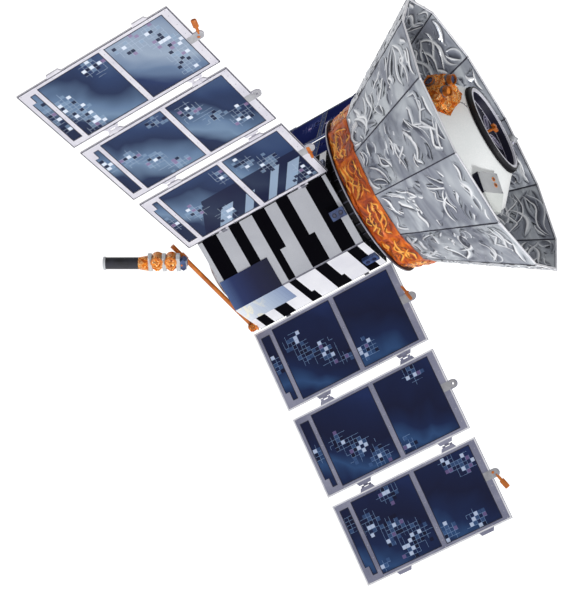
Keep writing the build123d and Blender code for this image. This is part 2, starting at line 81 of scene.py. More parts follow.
bus_aft_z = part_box("aft_deck")[0].z
bus_forward_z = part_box("forward_deck")[1].z
band_low, band_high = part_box("blanket_band")
shield_low, shield_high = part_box("sun_shield")
plate_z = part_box("mouth_plate")[1].z
tank_radius, _, shoulder_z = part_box("helium_tank")[1]
tank_forward_z = band_low.z + 1.354
band_aft_radius = tank_radius + 0.102
shield_aft_radius = tank_radius + 0.185
shield_rim_radius = shield_aft_radius + 0.76
shoulder_radius = tank_radius - 0.35
mouth_radius = shoulder_radius - 0.055


def polar(radius, azimuth, z=0):
    angle = math.radians(azimuth)
    return Vector((radius * math.cos(angle), radius * math.sin(angle), z))


def turned(angle, axis="Z"):
    return Matrix.Rotation(math.radians(angle), 4, axis)


def paint(code):
    """Linear colour of a written sRGB colour"""
    shares = [int(code[i:i + 2], 16) / 255 for i in (0, 2, 4)]
    return tuple(s / 12.92 if s <= 0.04045 else ((s + 0.055) / 1.055) ** 2.4 for s in shares) + (1,)


class Amount:
    """What a node of a finish gives. Reckoning with it adds the nodes that work out the result"""

    def __init__(self, finish, socket):
        self.finish = finish
        self.socket = socket

    def reckon(self, operation, other=0.0):
        return self.finish.node("Math", {0: self, 1: other}, operation=operation)


for sign, operation in (("add", "ADD"), ("sub", "SUBTRACT"), ("mul", "MULTIPLY"), ("truediv", "DIVIDE"),
                        ("gt", "GREATER_THAN"), ("lt", "LESS_THAN")):
    setattr(Amount, f"__{sign}__", lambda self, other, way=operation: self.reckon(way, other))

finishes = {}


class Finish:
    """One procedural finish, whose nodes are added and joined by short calls"""

    def __init__(self, name, roughness=0.5, metallic=0.0, specular=0.5, coat=0.0, coat_roughness=0.1):
        self.material = bpy.data.materials.new(name)
        self.material.use_nodes = True
        self.tree = self.material.node_tree
        self.surface = self.tree.nodes["Principled BSDF"]
        for key, value in (("Roughness", roughness), ("Metallic", metallic), ("Specular IOR Level", specular),
                           ("Coat Weight", coat), ("Coat Roughness", coat_roughness)):
            self.surface.inputs[key].default_value = value
        finishes[name] = self

    def join(self, socket, value):
        if isinstance(value, Amount):
            self.tree.links.new(value.socket, socket)
        else:
            socket.default_value = paint(value) if isinstance(value, str) else value

    def node(self, kind, inputs, output=0, **settings):
        made = self.tree.nodes.new("ShaderNode" + kind)
        for key, value in settings.items():
            setattr(made, key, value)
        for key, value in inputs.items():
            self.join(made.inputs[key], value)
        return Amount(self, made.outputs[output])

    def place(self, kind="Object"):
        return self.node("TexCoord", {}, kind)

    def axis(self, place, number):
        return self.node("SeparateXYZ", {0: place}, number)

    def mapped(self, vector, scale=(1, 1, 1), location=(0, 0, 0), rotation=(0, 0, 0), kind="POINT"):
        inputs = {"Vector": vector, "Scale": scale, "Location": location, "Rotation": rotation}
        return self.node("Mapping", inputs, vector_type=kind)

    def noise(self, vector, scale, detail=2.0, distortion=0.0, roughness=0.5):
        inputs = {"Vector": vector, "Scale": scale, "Detail": detail, "Distortion": distortion,
                  "Roughness": roughness}
        return self.node("TexNoise", inputs, "Fac")

    def ramp(self, share, stops, interpolation="LINEAR"):
        made = self.node("ValToRGB", {0: share})
        ramp = made.socket.node.color_ramp
        ramp.interpolation = interpolation
        while len(ramp.elements) < len(stops):
            ramp.elements.new(0.5)
        for point, (position, value) in zip(ramp.elements, stops):
            point.position = position
            point.color = paint(value) if isinstance(value, str) else (value, value, value, 1)
        return made

    def mix(self, share, first, second):
        return self.node("Mix", {0: share, 6: first, 7: second}, 2, data_type="RGBA")

    def colour(self, value):
        self.tone = value
        self.join(self.surface.inputs["Base Color"], value)

    def rough(self, share, low, high):
        self.join(self.surface.inputs["Roughness"], self.ramp(share, [(0.3, low), (0.7, high)]))

    def relief(self, height, strength, distance):
        bump = self.node("Bump", {"Height": height, "Strength": strength, "Distance": distance})
        self.join(self.surface.inputs["Normal"], bump)


def painted_finish(name, light, dark, roughness=0.45, specular=0.4, speckle=90, patch=2.2):
    """Sprayed paint: soft patches, fine speckle, a little orange peel"""
    finish = Finish(name, roughness, 0.0, specular)
    place = finish.place()
    patches = finish.noise(place, patch, 4, 0.4)
    share = patches * 0.7 + finish.noise(place, speckle, 3) * 0.3
    finish.colour(finish.ramp(share, [(0.36, dark), (0.62, light)]))
    finish.rough(patches, roughness - 0.07, roughness + 0.1)
    finish.relief(finish.noise(place, speckle * 4, 2), 0.08, 0.001)
    return finish


def metal_finish(name, light, dark, roughness, stretch=(14, 14, 90)):
    """Bare metal: fine machining lines, dull blotches"""
    finish = Finish(name, roughness, 0.85)
    place = finish.place()
    lines = finish.noise(finish.mapped(place, stretch), 1.0, 3)
    blotches = finish.noise(place, 6, 4)
    finish.colour(finish.ramp(lines * 0.5 + blotches * 0.5, [(0.35, dark), (0.65, light)]))
    finish.rough(blotches, roughness - 0.08, roughness + 0.15)
    finish.relief(lines, 0.1, 0.001)


# Paints: light and dark tone, roughness, shine, how fine the speckle is, how fine the patches
for row in (
        ("tank_paint", "FAFBFB", "ECEFEF", 0.42, 0.4, 60, 1.2),
        ("box_paint", "C6C8CA", "ACAEB2", 0.5),
        ("fairing_paint", "DDE0DD", "C8CCCA", 0.5),
        ("saddle_paint", "DDE0E2", "B9BCC2"),
        # The white tiles on the faces that carry the wings are a darker copy of the other faces' tiles, as painted
        # shade
        ("shaded_wide_tile_paint", "C6C8CF", "B0B2BA", 0.4, 0.4, 120, 1.2),
        ("tile_paint", "F0F0F4", "DEDEE6", 0.4, 0.5, 120, 1.6),
        ("black_face", "040309", "020206", 0.7, 0.04),
        ("black_paint", "121218", "08080C", 0.6, 0.2),
        ("deck_paint", "3C3B48", "24242E", 0.5, 0.3),
        ("seal_rubber", "121218", "08080C", 0.7, 0.2, 150),
        ("orange_paint", "D6781E", "A85412", 0.4, 0.5, 120, 7),
        # The wing frames are one paint: wing b's and wing c's darker tones are painted shade, wing a's is the lit tone
        ("frame_lit_and_shaded_paint_a", "DEDCE4", "CBC9D4", 0.42, 0.45, 100, 3),
        ("frame_lit_and_shaded_paint_b", "9C9DB2", "767890", 0.42, 0.35, 100, 2),
        ("frame_lit_and_shaded_paint_c", "4C587E", "2E3862", 0.75, 0.0, 100, 2),
        ("tab_paint", "B4B4B8", "96969C", 0.45, 0.4, 100, 8),
        ("antenna_plastic", "22222E", "121219", 0.38, 0.5, 120, 9),
        # This white paint is also the painted highlight on wing b's rail strips
        ("rim_and_highlight_paint", "F4F4F8", "DCDCE4", 0.35, 0.5, 120, 6),
        ("sensor_paint", "465A88", "232C54", 0.35, 0.5, 60, 9),
        ("liner_paint", "1A1A34", "0C0C1E", 0.45, 0.4, 60, 4),
        ("petal_paint", "C0BCD0", "9A96AE", 0.4, 0.4, 100, 6),
        ("leaf_paint", "3C3A58", "22203C", 0.35, 0.5, 60, 7),
        ("seam_paint", "8A8C94", "6A6C76", 0.5, 0.3, 120, 9),
        ("lens_glass", "3E4468", "0E0E20", 0.15, 0.6, 40, 26),
        ("drum_paint", "F0973A", "C8641A", 0.35, 0.5, 80, 14),
        ("amber_paint", "E8902E", "B05C12", 0.35, 0.5, 80, 30),
        # This dark paint also paints shade: the strips in the gaps round the cell windows, the rail strips on wing a
        # and the grey radiometer's unlit side
        ("gasket_and_shade_paint", "22243A", "14162A", 0.5, 0.3, 120, 9)):
    painted_finish(*row)
metal_finish("bare_metal", "E2E2E8", "B4B4BC", 0.3, (3, 3, 260))
metal_finish("hinge_metal", "9A9AA4", "6C6C78", 0.4)
metal_finish("dark_metal", "4A4A56", "2C2C36", 0.4)
metal_finish("screw_metal", "C8C8D0", "8C8C96", 0.35)


def flange_finish():
    """The flange: pale round the mouth, black sealant over its outer edge"""
    finish = painted_finish("flange_paint", "E8E8F0", "D2D2DE", 0.4, 0.5)
    place = finish.place()
    flat = finish.node("VectorMath", {0: place, 1: (1, 1, 0)}, operation="MULTIPLY")
    reach = finish.node("VectorMath", {0: flat}, "Value", operation="LENGTH")
    black = finish.ramp(finish.noise(place, 60, 3), [(0.35, "08080C"), (0.65, "16161E")])
    wobble = finish.noise(place, 9, 2) * 0.008
    finish.colour(finish.mix(reach + wobble > shoulder_radius - 0.017, finish.tone, black))


def horn_finish():
    """Amber horns on the gold box, pale grey ones on the others"""
    finish = painted_finish("horn_paint", "C06A20", "6E3810", 0.35, 0.5, 60, 12)
    place = finish.place()
    grey = finish.ramp(finish.noise(place, 60, 3), [(0.35, "8E9096"), (0.65, "B2B4B8")])
    finish.colour(finish.mix(finish.axis(place, 1) < -0.5, grey, finish.tone))


def tone_set(*codes):
    return dict(zip(("shade", "base", "light", "crease", "hollow", "ridge"), codes))


# Film tones: shade and light are painted soft shade and light, the tones of creases and hollows are painted shade, and
# the ridge tone is a painted highlight
silver_tones = tone_set("7E828F", "9DA2AC", "C4C9CF", "262A3A", "585C6C", "F6F7FA")
gold_tones = tone_set("963202", "C85604", "EA7C12", "4C1802", "842C02", "FFB84E")
wrap_tones = tone_set("BC5406", "EE8212", "FFB248", "5E2406", "B04C08", "FFE4AC")
# How a fold of the wrapping runs across a contour of the noise: where each tone starts. The ridge is a painted
# highlight, the creases and hollows painted shade
fold_steps = ((0.3, "shade"), (0.42, "base"), (0.462, "light"), (0.474, "ridge"), (0.486, "ridge"),
              (0.494, "crease"), (0.503, "crease"), (0.52, "hollow"), (0.55, "base"), (0.588, "light"),
              (0.6, "ridge"), (0.609, "ridge"), (0.617, "crease"), (0.64, "shade"), (0.68, "base"),
              (0.705, "ridge"), (0.715, "hollow"), (0.8, "crease"))


def foil_finish(name, tones, scale, roughness=0.34, metallic=0.5, marked=False, folded=False):
    """Crumpled film. Marked takes a piece's own fold tones, folded has winding ridges and creases of its own, with
    painted highlights on the ridges and painted shade in the creases
    """
    finish = Finish(name, roughness, metallic)
    place = finish.place("Object" if folded else "UV")
    long_place = finish.mapped(place, scale)
    broad = finish.noise(finish.mapped(long_place, (0.8, 1.1, 0.8), (9, 2, 4)), 1.0, 2, 0.9)
    colour = finish.ramp(broad, [(0.34, tones["shade"]), (0.5, tones["base"]), (0.66, tones["light"])])
    if folded:
        folds = finish.noise(long_place, 1.0, 0.7, 1.3, 0.4)
        patches = finish.noise(finish.mapped(long_place, (0.7, 0.7, 0.7), (5, 5, 5)), 1.0, 1)
        colour = finish.mix(finish.ramp(patches, [(0.2, 0.0), (0.3, 1.0)]), colour,
                            finish.ramp(folds, [(at, tones[tone]) for at, tone in fold_steps]))
        height = finish.ramp(folds, [(0.33, 0.3), (0.475, 1.0), (0.5, 0.0), (0.6, 0.8), (0.625, 0.1), (0.75, 0.3)])
        finish.relief(height, 0.35, 0.01)
    else:
        finish.relief(finish.noise(place, 40, 2), 0.06, 0.002)
    if marked:
        cover, tone = (finish.node("VertexColor", {}, output, layer_name="fold_tone") for output in ("Alpha", "Color"))
        colour = finish.mix(cover, colour, tone)
    finish.colour(colour)
    finish.rough(broad, roughness - 0.08, roughness + 0.1)


flange_finish()
horn_finish()
for kind, marked in (("foil", False), ("folds", True)):
    foil_finish(f"silver_{kind}", silver_tones, (1.5, 3.6, 1.5), marked=marked)
    foil_finish(f"gold_{kind}", gold_tones, (3, 8, 3), 0.42, 0.12, marked)
foil_finish("gold_wrap", wrap_tones, (14, 14, 14), 0.36, folded=True)


# Small builders
def stand(place, axis):
    """The matrix that stands a piece on place, with its height along axis"""
    return Matrix.Translation(Vector(place)) @ Vector(axis).to_track_quat("Z", "Y").to_matrix().to_4x4()


def slab_box(bm, size, matrix):
    """A box of a given size, put in place by a matrix"""
    made = bmesh.ops.create_cube(bm, size=1)["verts"]
    bmesh.ops.scale(bm, vec=size, verts=made)
    bmesh.ops.transform(bm, matrix=matrix, verts=made)
    return made


def bar(bm, start, end, width, height, up):
    """A bar from start to end, with its own width, and its height along up"""
    start = Vector(start)
    run = Vector(end) - start
    forward = run.normalized()
    side = forward.cross(Vector(up)).normalized()
    turn = Matrix((forward, side, side.cross(forward))).transposed().to_4x4()
    slab_box(bm, (run.length, width, height), Matrix.Translation(start + run / 2) @ turn)


def polygon_plate(bm, corners, outward, thickness):
    """A flat plate on given corners, raised along outward"""
    face = bm.faces.new([bm.verts.new(corner) for corner in corners])
    raised = bmesh.ops.extrude_face_region(bm, geom=[face])["geom"]
    moved = [item for item in raised if isinstance(item, bmesh.types.BMVert)]
    bmesh.ops.translate(bm, verts=moved, vec=Vector(outward) * thickness)


def stud(bm, place, axis, radius, height, sides=10, tip=None):
    """A short round stud that stands on place along axis"""
    bmesh.ops.create_cone(bm, cap_ends=True, segments=sides, radius1=radius, radius2=tip or radius, depth=height,
                          matrix=stand(place, axis) @ Matrix.Translation((0, 0, height / 2)))


def turned_ring(bm, profile, place=(0, 0, 0), axis=(0, 0, 1), steps=96):
    """A closed profile of (radius, height) turned about axis"""
    old = set(bm.verts)
    corners = [bm.verts.new((radius, 0, height)) for radius, height in profile]
    edges = [bm.edges.new((corners[i - 1], corners[i])) for i in range(len(corners))]
    bmesh.ops.spin(bm, geom=corners + edges, cent=(0, 0, 0), axis=(0, 0, 1), angle=math.tau, steps=steps,
                   use_merge=True)
    made = [vert for vert in bm.verts if vert not in old]
    bmesh.ops.transform(bm, matrix=stand(place, axis), verts=made)
    return made


def collar(bm, inner, outer, low, high, *placed):
    """A ring of rectangular section"""
    turned_ring(bm, [(inner, low), (outer, low), (outer, high), (inner, high)], *placed)


def wire(bm, points, radius, sides=6):
    """A round wire that runs through points"""
    points = [Vector(point) for point in points]
    runs = [(points[min(i + 1, len(points) - 1)] - points[max(i - 1, 0)]).normalized() for i in range(len(points))]
    ring = bmesh.ops.create_circle(bm, cap_ends=True, segments=sides, radius=radius,
                                   matrix=stand(points[0], runs[0]))["verts"]
    cap = next(face for face in ring[0].link_faces)
    for i in range(1, len(points)):
        raised = bmesh.ops.extrude_face_region(bm, geom=[cap])["geom"]
        cap = next(item for item in raised if isinstance(item, bmesh.types.BMFace))
        swing = runs[i - 1].rotation_difference(runs[i]).to_matrix().to_4x4()
        step = Matrix.Translation(points[i]) @ swing @ Matrix.Translation(-points[i - 1])
        bmesh.ops.transform(bm, matrix=step, verts=cap.verts[:])


def finish_piece(name, bm, finish, body="bus", replaced=(), sharp=35, merge=True, closed=True):
    if merge:
        bmesh.ops.remove_doubles(bm, verts=bm.verts, dist=0.00001)
    if closed:
        bmesh.ops.recalc_face_normals(bm, faces=bm.faces)
    mesh = bpy.data.meshes.new(name)
    bm.to_mesh(mesh)
    bm.free()
    for face in mesh.polygons:
        face.use_smooth = True
    mesh.set_sharp_from_angle(angle=math.radians(sharp))
    mesh.materials.append(finishes[finish].material)
    piece = bpy.data.objects.new(name, mesh)
    scene.collection.objects.link(piece)
    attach(piece, body)
    if replaced:
        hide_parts(*replaced)
    return piece


# Bus. Its outline has wide faces, which carry the wings, and narrow ones between them
outline = [corner for azimuth in wing_azimuths.values() for corner in
           (polar(wing_corner_radius, azimuth), polar(mid_corner_radius, azimuth + mid_corner_lead))]
wide_faces = (0, 2, 4)
narrow_faces = (1, 3, 5)


def face_frame(index):
    start = outline[index]
    end = outline[(index + 1) % len(outline)]
    along = (end - start).normalized()
    return start, along, Vector((along.y, -along.x, 0)), (end - start).length


def mirror_finish():
    """Second-surface mirror bent round a corner, with painted reflections: navy on the broad face, paler on the slim
    one, streaked aft with pale painted reflections
    """
    finish = Finish("mirror_radiator", 0.2, 0.0, 0.2, coat=0.03, coat_roughness=0.05)
    low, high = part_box("mirror_radiator")
    corner = outline[1]
    bend = (outline[2] - corner).normalized() - (outline[0] - corner).normalized()
    place = finish.place()
    up = finish.axis(place, 2)
    share = (up - low.z) / (high.z - low.z)
    side = finish.node("VectorMath", {0: place, 1: tuple(bend)}, "Value", operation="DOT_PRODUCT") - corner.dot(bend)
    on_narrow = side > 0.0
    # Painted reflections: a gradient up each face, and pale streaks low on the slim face
    wide_reflection = finish.ramp(share, [(0.0, "4E6594"), (0.22, "202F60"), (0.6, "10173F"), (1.0, "090D2C")])
    narrow_reflection = finish.ramp(share, [(0.0, "E6EAF0"), (0.2, "C6CFDC"), (0.6, "A9B7CC"), (1.0, "8494B4")])
    swirls = finish.noise(finish.mapped(place, (2.5, 2.5, 6)), 1.0, 1, 0.8)
    reflection_streak = finish.ramp(swirls, [(0.44, 0.0), (0.48, 0.8), (0.5, 0.2), (0.53, 0.9), (0.57, 0.0)])
    aft = on_narrow * finish.ramp(share, [(0.15, 1.0), (0.6, 0.0)])
    colour = finish.mix(reflection_streak * aft, finish.mix(on_narrow, wide_reflection, narrow_reflection), "F4EBC8")
    rows = finish.ramp((up * 20).reckon("FRACT"), [(0.0, 1.0), (0.07, 0.0)])
    columns = finish.ramp((side * 14).reckon("FRACT"), [(0.0, 1.0), (0.05, 0.0)])
    joint = rows.reckon("MAXIMUM", columns)
    finish.colour(finish.mix(joint * 0.25, colour, "0C1030"))
    finish.relief(joint, 0.1, 0.001)


def add_sensor_faces():
    """Dark round openings in pale rings on the sensor boxes"""
    lenses, rings = bmesh.new(), bmesh.new()
    middle_z = sum(corner.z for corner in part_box("horizon_sensors")) / 2
    for index in range(len(outline)):
        start, along, outward, width = face_frame(index)
        share, depth = (0.53, 0.038) if index in wide_faces else (0.58, 0.046)
        for lift in (-0.045, 0.045):
            spot = start + along * share * width + outward * depth + Vector((0, 0, middle_z + lift))
            stud(lenses, spot, outward, 0.02, 0.003, 24)
            collar(rings, 0.0203, 0.027, 0, 0.005, spot, outward, 24)
    finish_piece("sensor_lenses", lenses, "lens_glass")
    finish_piece("sensor_rings", rings, "gasket_and_shade_paint")


def add_bus_trim():
    """Bolts of the launch ring's flange and the decks, ribs of the interface drum, the instrument deck's edge"""
    bolts, ribs, rim = bmesh.new(), bmesh.new(), bmesh.new()
    ring_radius = 0.56
    for i in range(18):
        stud(bolts, polar(ring_radius, i * 20 + 10, bus_aft_z), (0, 0, -1), 0.009, 0.008, 6)
    for index in range(len(outline)):
        start, along, outward, width = face_frame(index)
        for share in (0.12, 0.31, 0.5, 0.69, 0.88):
            for z, way in ((bus_aft_z, -1), (bus_forward_z, 1)):
                spot = start + along * share * width - outward * 0.03 + Vector((0, 0, z))
                stud(bolts, spot, (0, 0, way), 0.006, 0.004, 6)
    low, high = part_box("interface_drum")
    for i in range(24):
        foot, top = (polar(high.x + 0.009, i * 15, z) for z in (low.z + 0.004, high.z - 0.004))
        bar(ribs, foot, top, 0.016, 0.018, polar(1, i * 15))
    low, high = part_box("instrument_deck")
    collar(rim, high.x + 0.0004, high.x + 0.005, low.z, high.z)
    finish_piece("deck_bolts", bolts, "screw_metal")
    finish_piece("drum_ribs", ribs, "dark_metal")
    finish_piece("deck_edge", rim, "hinge_metal")


# White bands of a face: start and end forward of the bus's aft edge. Where a band has a step, that follows as
# a share of the face's width, with the start beyond it
wide_bands = ((0.0, 0.06), (0.27, 0.457), (0.605, 0.79), (0.975, 1.14, 0.58, 0.89), (1.306, 1.555, 0.59, 1.38),
              (1.795, 1.849, 0.5, 1.75))
narrow_bands = ((0.0, 0.08), (0.21, 0.35), (0.53, 0.775), (0.875, 1.15, 0.66, 0.917), (1.315, 1.61, 0.65, 1.355),
                (1.755, 1.849))
tile_thickness = 0.002
tile_margin = 0.008


def add_stripe_tiles(name, faces, bands, finish):
    bm = bmesh.new()
    for index in faces:
        start, along, outward, width = face_frame(index)
        near, far = tile_margin, width - tile_margin
        for start_z, end_z, *stepped in bands:
            flat = [(near, start_z), (far, start_z), (far, end_z), (near, end_z)]
            if stepped:
                step, beyond = stepped
                flat[1:2] = [(step * width, start_z), (step * width, beyond), (far, beyond)]
            polygon_plate(bm, [start + along * u + Vector((0, 0, bus_aft_z + z)) for u, z in flat], outward,
                          tile_thickness)
    finish_piece(name, bm, finish)


def add_corner_strips():
    bm = bmesh.new()
    width = 0.012
    for index in narrow_faces:
        for face, way in ((index, 1), (index - 1, -1)):
            _, along, outward, _ = face_frame(face)
            foot, top = (outline[index] + outward * 0.0016 + along * way * width / 2 + Vector((0, 0, z))
                         for z in (bus_aft_z, bus_forward_z))
            bar(bm, foot, top, width, 0.0032, outward)
    finish_piece("corner_strips", bm, "hinge_metal")


# Foil blankets with twelve sides
class Film:
    """Flat facets between two rings of (radius, z), and how far the crumpled film stands out from them"""

    def __init__(self, rings, wall, crumples):
        (self.low_radius, self.low_z), (self.high_radius, self.high_z) = rings
        self.flare = self.high_radius - self.low_radius
        self.height = self.high_z - self.low_z
        self.slope = math.hypot(self.flare, self.height)
        self.mean_radius = (self.low_radius + self.high_radius) / 2
        self.width = math.radians(facet_step) * self.mean_radius
        self.wall = wall
        self.crumples = crumples

    def flat(self, facet, along, up):
        return along + 3.37 * facet, up + 1.91 * facet

    def crumple(self, facet, along, up):
        sizes = self.crumples
        share, rise = along / self.width, up / self.slope
        hold = min(1, 2 * min(share, 1 - share) * sizes["hold"])
        hold *= min(1, rise * sizes["edge_hold"] + sizes["low_edge"]) * min(1, (1 - rise) * sizes["edge_hold"])
        spot = polar(self.mean_radius, shield_corner_azimuth + (facet + share) * facet_step, up * sizes["stretch"])
        spot /= sizes["size"]
        spot += noise.noise_vector(spot * 0.8) * sizes["swirl"]
        ridge, small = (1 - 3.2 * abs(noise.noise(at)) for at in (spot, spot * 2.3 + Vector((5, 5, 5))))
        return max(hold, 0) * (sizes["depth"] * (ridge + 0.4 * small) - sizes["sink"])

    def place(self, facet, along, up, out):
        turn, rise = along / self.width * facet_step, up / self.slope
        middle = math.radians(facet_step / 2)
        radius = (self.low_radius + self.flare * rise) * math.cos(middle) / math.cos(math.radians(turn) - middle)
        spot = polar(radius, shield_corner_azimuth + facet * facet_step + turn, self.low_z + self.height * rise)
        lean = self.flare * math.cos(middle)
        outward = polar(self.height, shield_corner_azimuth + (facet + 0.5) * facet_step, -lean)
        return spot + outward.normalized() * out


shield_film = Film([(shield_aft_radius, shield_low.z), (shield_rim_radius, shield_high.z)], 0.005,
                   {"hold": 7, "edge_hold": 12, "low_edge": 0.1, "size": 0.4, "stretch": 2.4, "swirl": 0.7,
                    "depth": 0.01, "sink": 0.004})
band_film = Film([(band_aft_radius, band_low.z), (shield_aft_radius + 0.006, band_high.z)], 0.006,
                 {"hold": 30, "edge_hold": 10, "low_edge": 0.4, "size": 0.2, "stretch": 2.2, "swirl": 0.7,
                  "depth": 0.012, "sink": -0.003})


def facet_turn(spot):
    """How far a spot is turned from the shield's first corner, in degrees"""
    return (math.degrees(math.atan2(spot.y, spot.x)) - shield_corner_azimuth) % 360


def foil_ring(name, film, columns, rows, finish, replaced):
    """The film's crumpled blanket"""
    bm = bmesh.new()
    for radius, z in ((film.low_radius, film.low_z), (film.high_radius, film.high_z)):
        loop = [bm.verts.new(polar(radius, shield_corner_azimuth + facet_step * i, z)) for i in range(shield_sides)]
        for i in range(shield_sides):
            bm.edges.new((loop[i], loop[(i + 1) % shield_sides]))
    bmesh.ops.bridge_loops(bm, edges=bm.edges[:])
    slopes = [edge for edge in bm.edges if abs(edge.verts[0].co.z - edge.verts[1].co.z) > 0.001]
    bmesh.ops.subdivide_edges(bm, edges=slopes, cuts=rows - 1, use_grid_fill=True)
    around = [edge for edge in bm.edges if abs(edge.verts[0].co.z - edge.verts[1].co.z) < 0.0001]
    bmesh.ops.subdivide_edges(bm, edges=around, cuts=columns - 1, use_grid_fill=True)
    bmesh.ops.recalc_face_normals(bm, faces=bm.faces)
    layer = bm.loops.layers.uv.new("flat")
    rise = film.slope / film.height
    for face in bm.faces:
        middle_turn = facet_turn(face.calc_center_median())
        facet = int(middle_turn // facet_step)
        for corner in face.loops:
            turn = facet_turn(corner.vert.co)
            turn -= 360 * round((turn - middle_turn) / 360)
            corner[layer].uv = film.flat(facet, math.radians(turn - facet * facet_step) * film.mean_radius,
                                         (corner.vert.co.z - film.low_z) * rise)
    shifts = {}
    for vert in bm.verts:
        facet, turn = divmod(facet_turn(vert.co), facet_step)
        along = math.radians(turn) * film.mean_radius
        shifts[vert] = vert.normal * film.crumple(int(facet), along, (vert.co.z - film.low_z) * rise)
    for vert, shift in shifts.items():
        vert.co += shift
    piece = finish_piece(name, bm, finish, replaced=[replaced], sharp=70, merge=False)
    shell = piece.modifiers.new("wall", "SOLIDIFY")
    shell.thickness = film.wall
    shell.offset = -1


# Across a fold, in shares of its half width: tone, how much of it covers the film, how far it stands up. The tones
# paint a highlight on the ridge and shade in the creases and hollows
fold_kinds = (
    ((-1.0, "light", 0.0, -0.5), (-0.6, "light", 0.7, 0.5), (-0.34, "ridge", 1.0, 1.0), (-0.08, "ridge", 1.0, 0.9),
     (0.12, "crease", 0.95, 0.3), (0.36, "crease", 0.75, 0.2), (0.6, "hollow", 0.45, 0.2), (1.0, "hollow", 0.0, -0.5)),
    ((-1.3, "light", 0.0, -0.5), (-1.12, "ridge", 0.9, 0.9), (-0.9, "ridge", 1.0, 0.9), (-0.7, "crease", 1.0, 0.3),
     (-0.15, "crease", 0.9, 0.2), (0.25, "hollow", 0.9, 0.2), (0.7, "shade", 0.7, 0.3), (0.92, "light", 0.9, 0.8),
     (1.08, "ridge", 0.9, 0.8), (1.3, "light", 0.0, -0.5)),
    ((-1.0, "hollow", 0.0, -0.5), (-0.4, "hollow", 0.7, 0.3), (-0.1, "crease", 0.95, 0.2),
     (0.15, "crease", 0.95, 0.2), (0.5, "shade", 0.5, 0.3), (1.0, "shade", 0.0, -0.5)))
fold_stations = 18


def fold_route(rng, film, seed, middle, sizes):
    """The part of a winding route that lies on one facet, or none where that is short"""
    steps = fold_stations
    drift = noise.noise(Vector((*middle, seed)) * sizes["drift"])
    heading = 1.2 * drift + rng.uniform(-0.12, 0.12) + rng.choice((0, math.pi))
    length = rng.uniform(*sizes["length"])
    sway, waves, phase = rng.uniform(0.3, 0.8), rng.uniform(0.6, 1.4), rng.uniform(0, math.tau)
    zigzag = rng.random() < 0.12
    points = [Vector((0, 0))]
    for i in range(steps):
        share = i / steps
        turn = 0.75 * (-1) ** int(share * 4) if zigzag else sway * math.sin(phase + math.tau * waves * share)
        points.append(points[-1] + Vector((math.cos(heading + turn), math.sin(heading + turn))) * length / steps)
    shift = Vector(middle) - points[steps // 2]
    edge = sizes["half_width"][0]
    runs = [[]]
    for point in points:
        x, y = point + shift
        if edge < x < film.width - edge and edge < y < film.slope - edge:
            runs[-1].append(point + shift)
        elif runs[-1]:
            runs.append([])
    run = max(runs, key=len)
    if (len(run) - 1) * length / steps < sizes["length"][0]:
        return None
    places = [i / steps * (len(run) - 1) for i in range(steps + 1)]
    return [run[int(at)].lerp(run[min(int(at) + 1, len(run) - 1)], at % 1) for at in places]


def add_folds(name, film, side, rows, sizes, tones, finish, seed):
    """Folds that lie on the film, with painted light: a bright ridge as a painted highlight beside a dark fold line in
    painted shade, or a dark dip in painted shade
    """
    rng = random.Random(seed)
    bm = bmesh.new()
    tone_layer = bm.verts.layers.float_color.new("fold_tone")
    flat_layer = bm.loops.layers.uv.new("flat")
    steps = fold_stations
    columns = 3
    for spot in range(shield_sides * columns * rows):
        facet, cell = divmod(spot, columns * rows)
        column, row = divmod(cell, rows)
        route = None
        for attempt in range(10):
            middle = ((column + rng.uniform(0.2, 0.8)) / columns * film.width,
                      (row + rng.uniform(0.2, 0.8)) / rows * film.slope)
            route = route or fold_route(rng, film, seed + facet * 7.3, middle, sizes)
        half_width = rng.uniform(*sizes["half_width"])
        strength = rng.uniform(0.7, 1.0)
        across_fold = rng.choices(fold_kinds, sizes["kinds"])[0]
        if not route or rng.random() < sizes["gaps"]:
            continue
        made = bmesh.ops.create_grid(bm, x_segments=steps, y_segments=len(across_fold) - 1, size=1)["verts"]
        flats = {}
        for vert in made:
            station = round((vert.co.x + 1) / 2 * steps)
            across, tone, cover, lift = across_fold[round((vert.co.y + 1) / 2 * (len(across_fold) - 1))]
            run = (route[min(station + 1, steps)] - route[max(station - 1, 0)]).normalized()
            taper = math.sin(math.pi * (station + 0.25) / (steps + 0.5))
            flat = route[station] + Vector((-run.y, run.x)) * across * half_width * taper ** 0.7
            out = film.crumple(facet, flat.x, flat.y)
            lift = sizes["height"] * lift * taper + sizes["clear"]
            vert.co = film.place(facet, flat.x, flat.y, out + lift if side > 0 else out - film.wall - lift)
            vert[tone_layer] = paint(tones[tone])[:3] + (cover * strength * min(1, taper * 2.5),)
            flats[vert] = flat
        for face in {face for vert in made for face in vert.link_faces}:
            for corner in face.loops:
                corner[flat_layer].uv = film.flat(facet, *flats[corner.vert])
            face.normal_update()
            if face.normal.dot(face.calc_center_median() * Vector((1, 1, 0)) * side) < 0:
                face.normal_flip()
    finish_piece(name, bm, finish, sharp=80, merge=False, closed=False)


def add_shield():
    foil_ring("shield_blanket", shield_film, 36, 64, "silver_foil", "sun_shield")
    foil_ring("band_blanket", band_film, 40, 24, "gold_foil", "blanket_band")
    folds = {"drift": 1.8, "length": (0.15, 0.95), "half_width": (0.034, 0.072), "kinds": (6, 1.8, 1.8),
             "gaps": 0.05, "height": 0.007, "clear": 0.008}
    for name, side, seed in (("shield_folds_outside", 1, 5), ("shield_folds_inside", -1, 8)):
        add_folds(name, shield_film, side, 10, folds, silver_tones, "silver_folds", seed)
    folds = {"drift": 4.0, "length": (0.14, 0.5), "half_width": (0.03, 0.052), "kinds": (5, 1.2, 4),
             "gaps": 0.0, "height": 0.005, "clear": 0.006}
    add_folds("band_folds", band_film, 1, 6, folds, gold_tones, "gold_folds", 3)


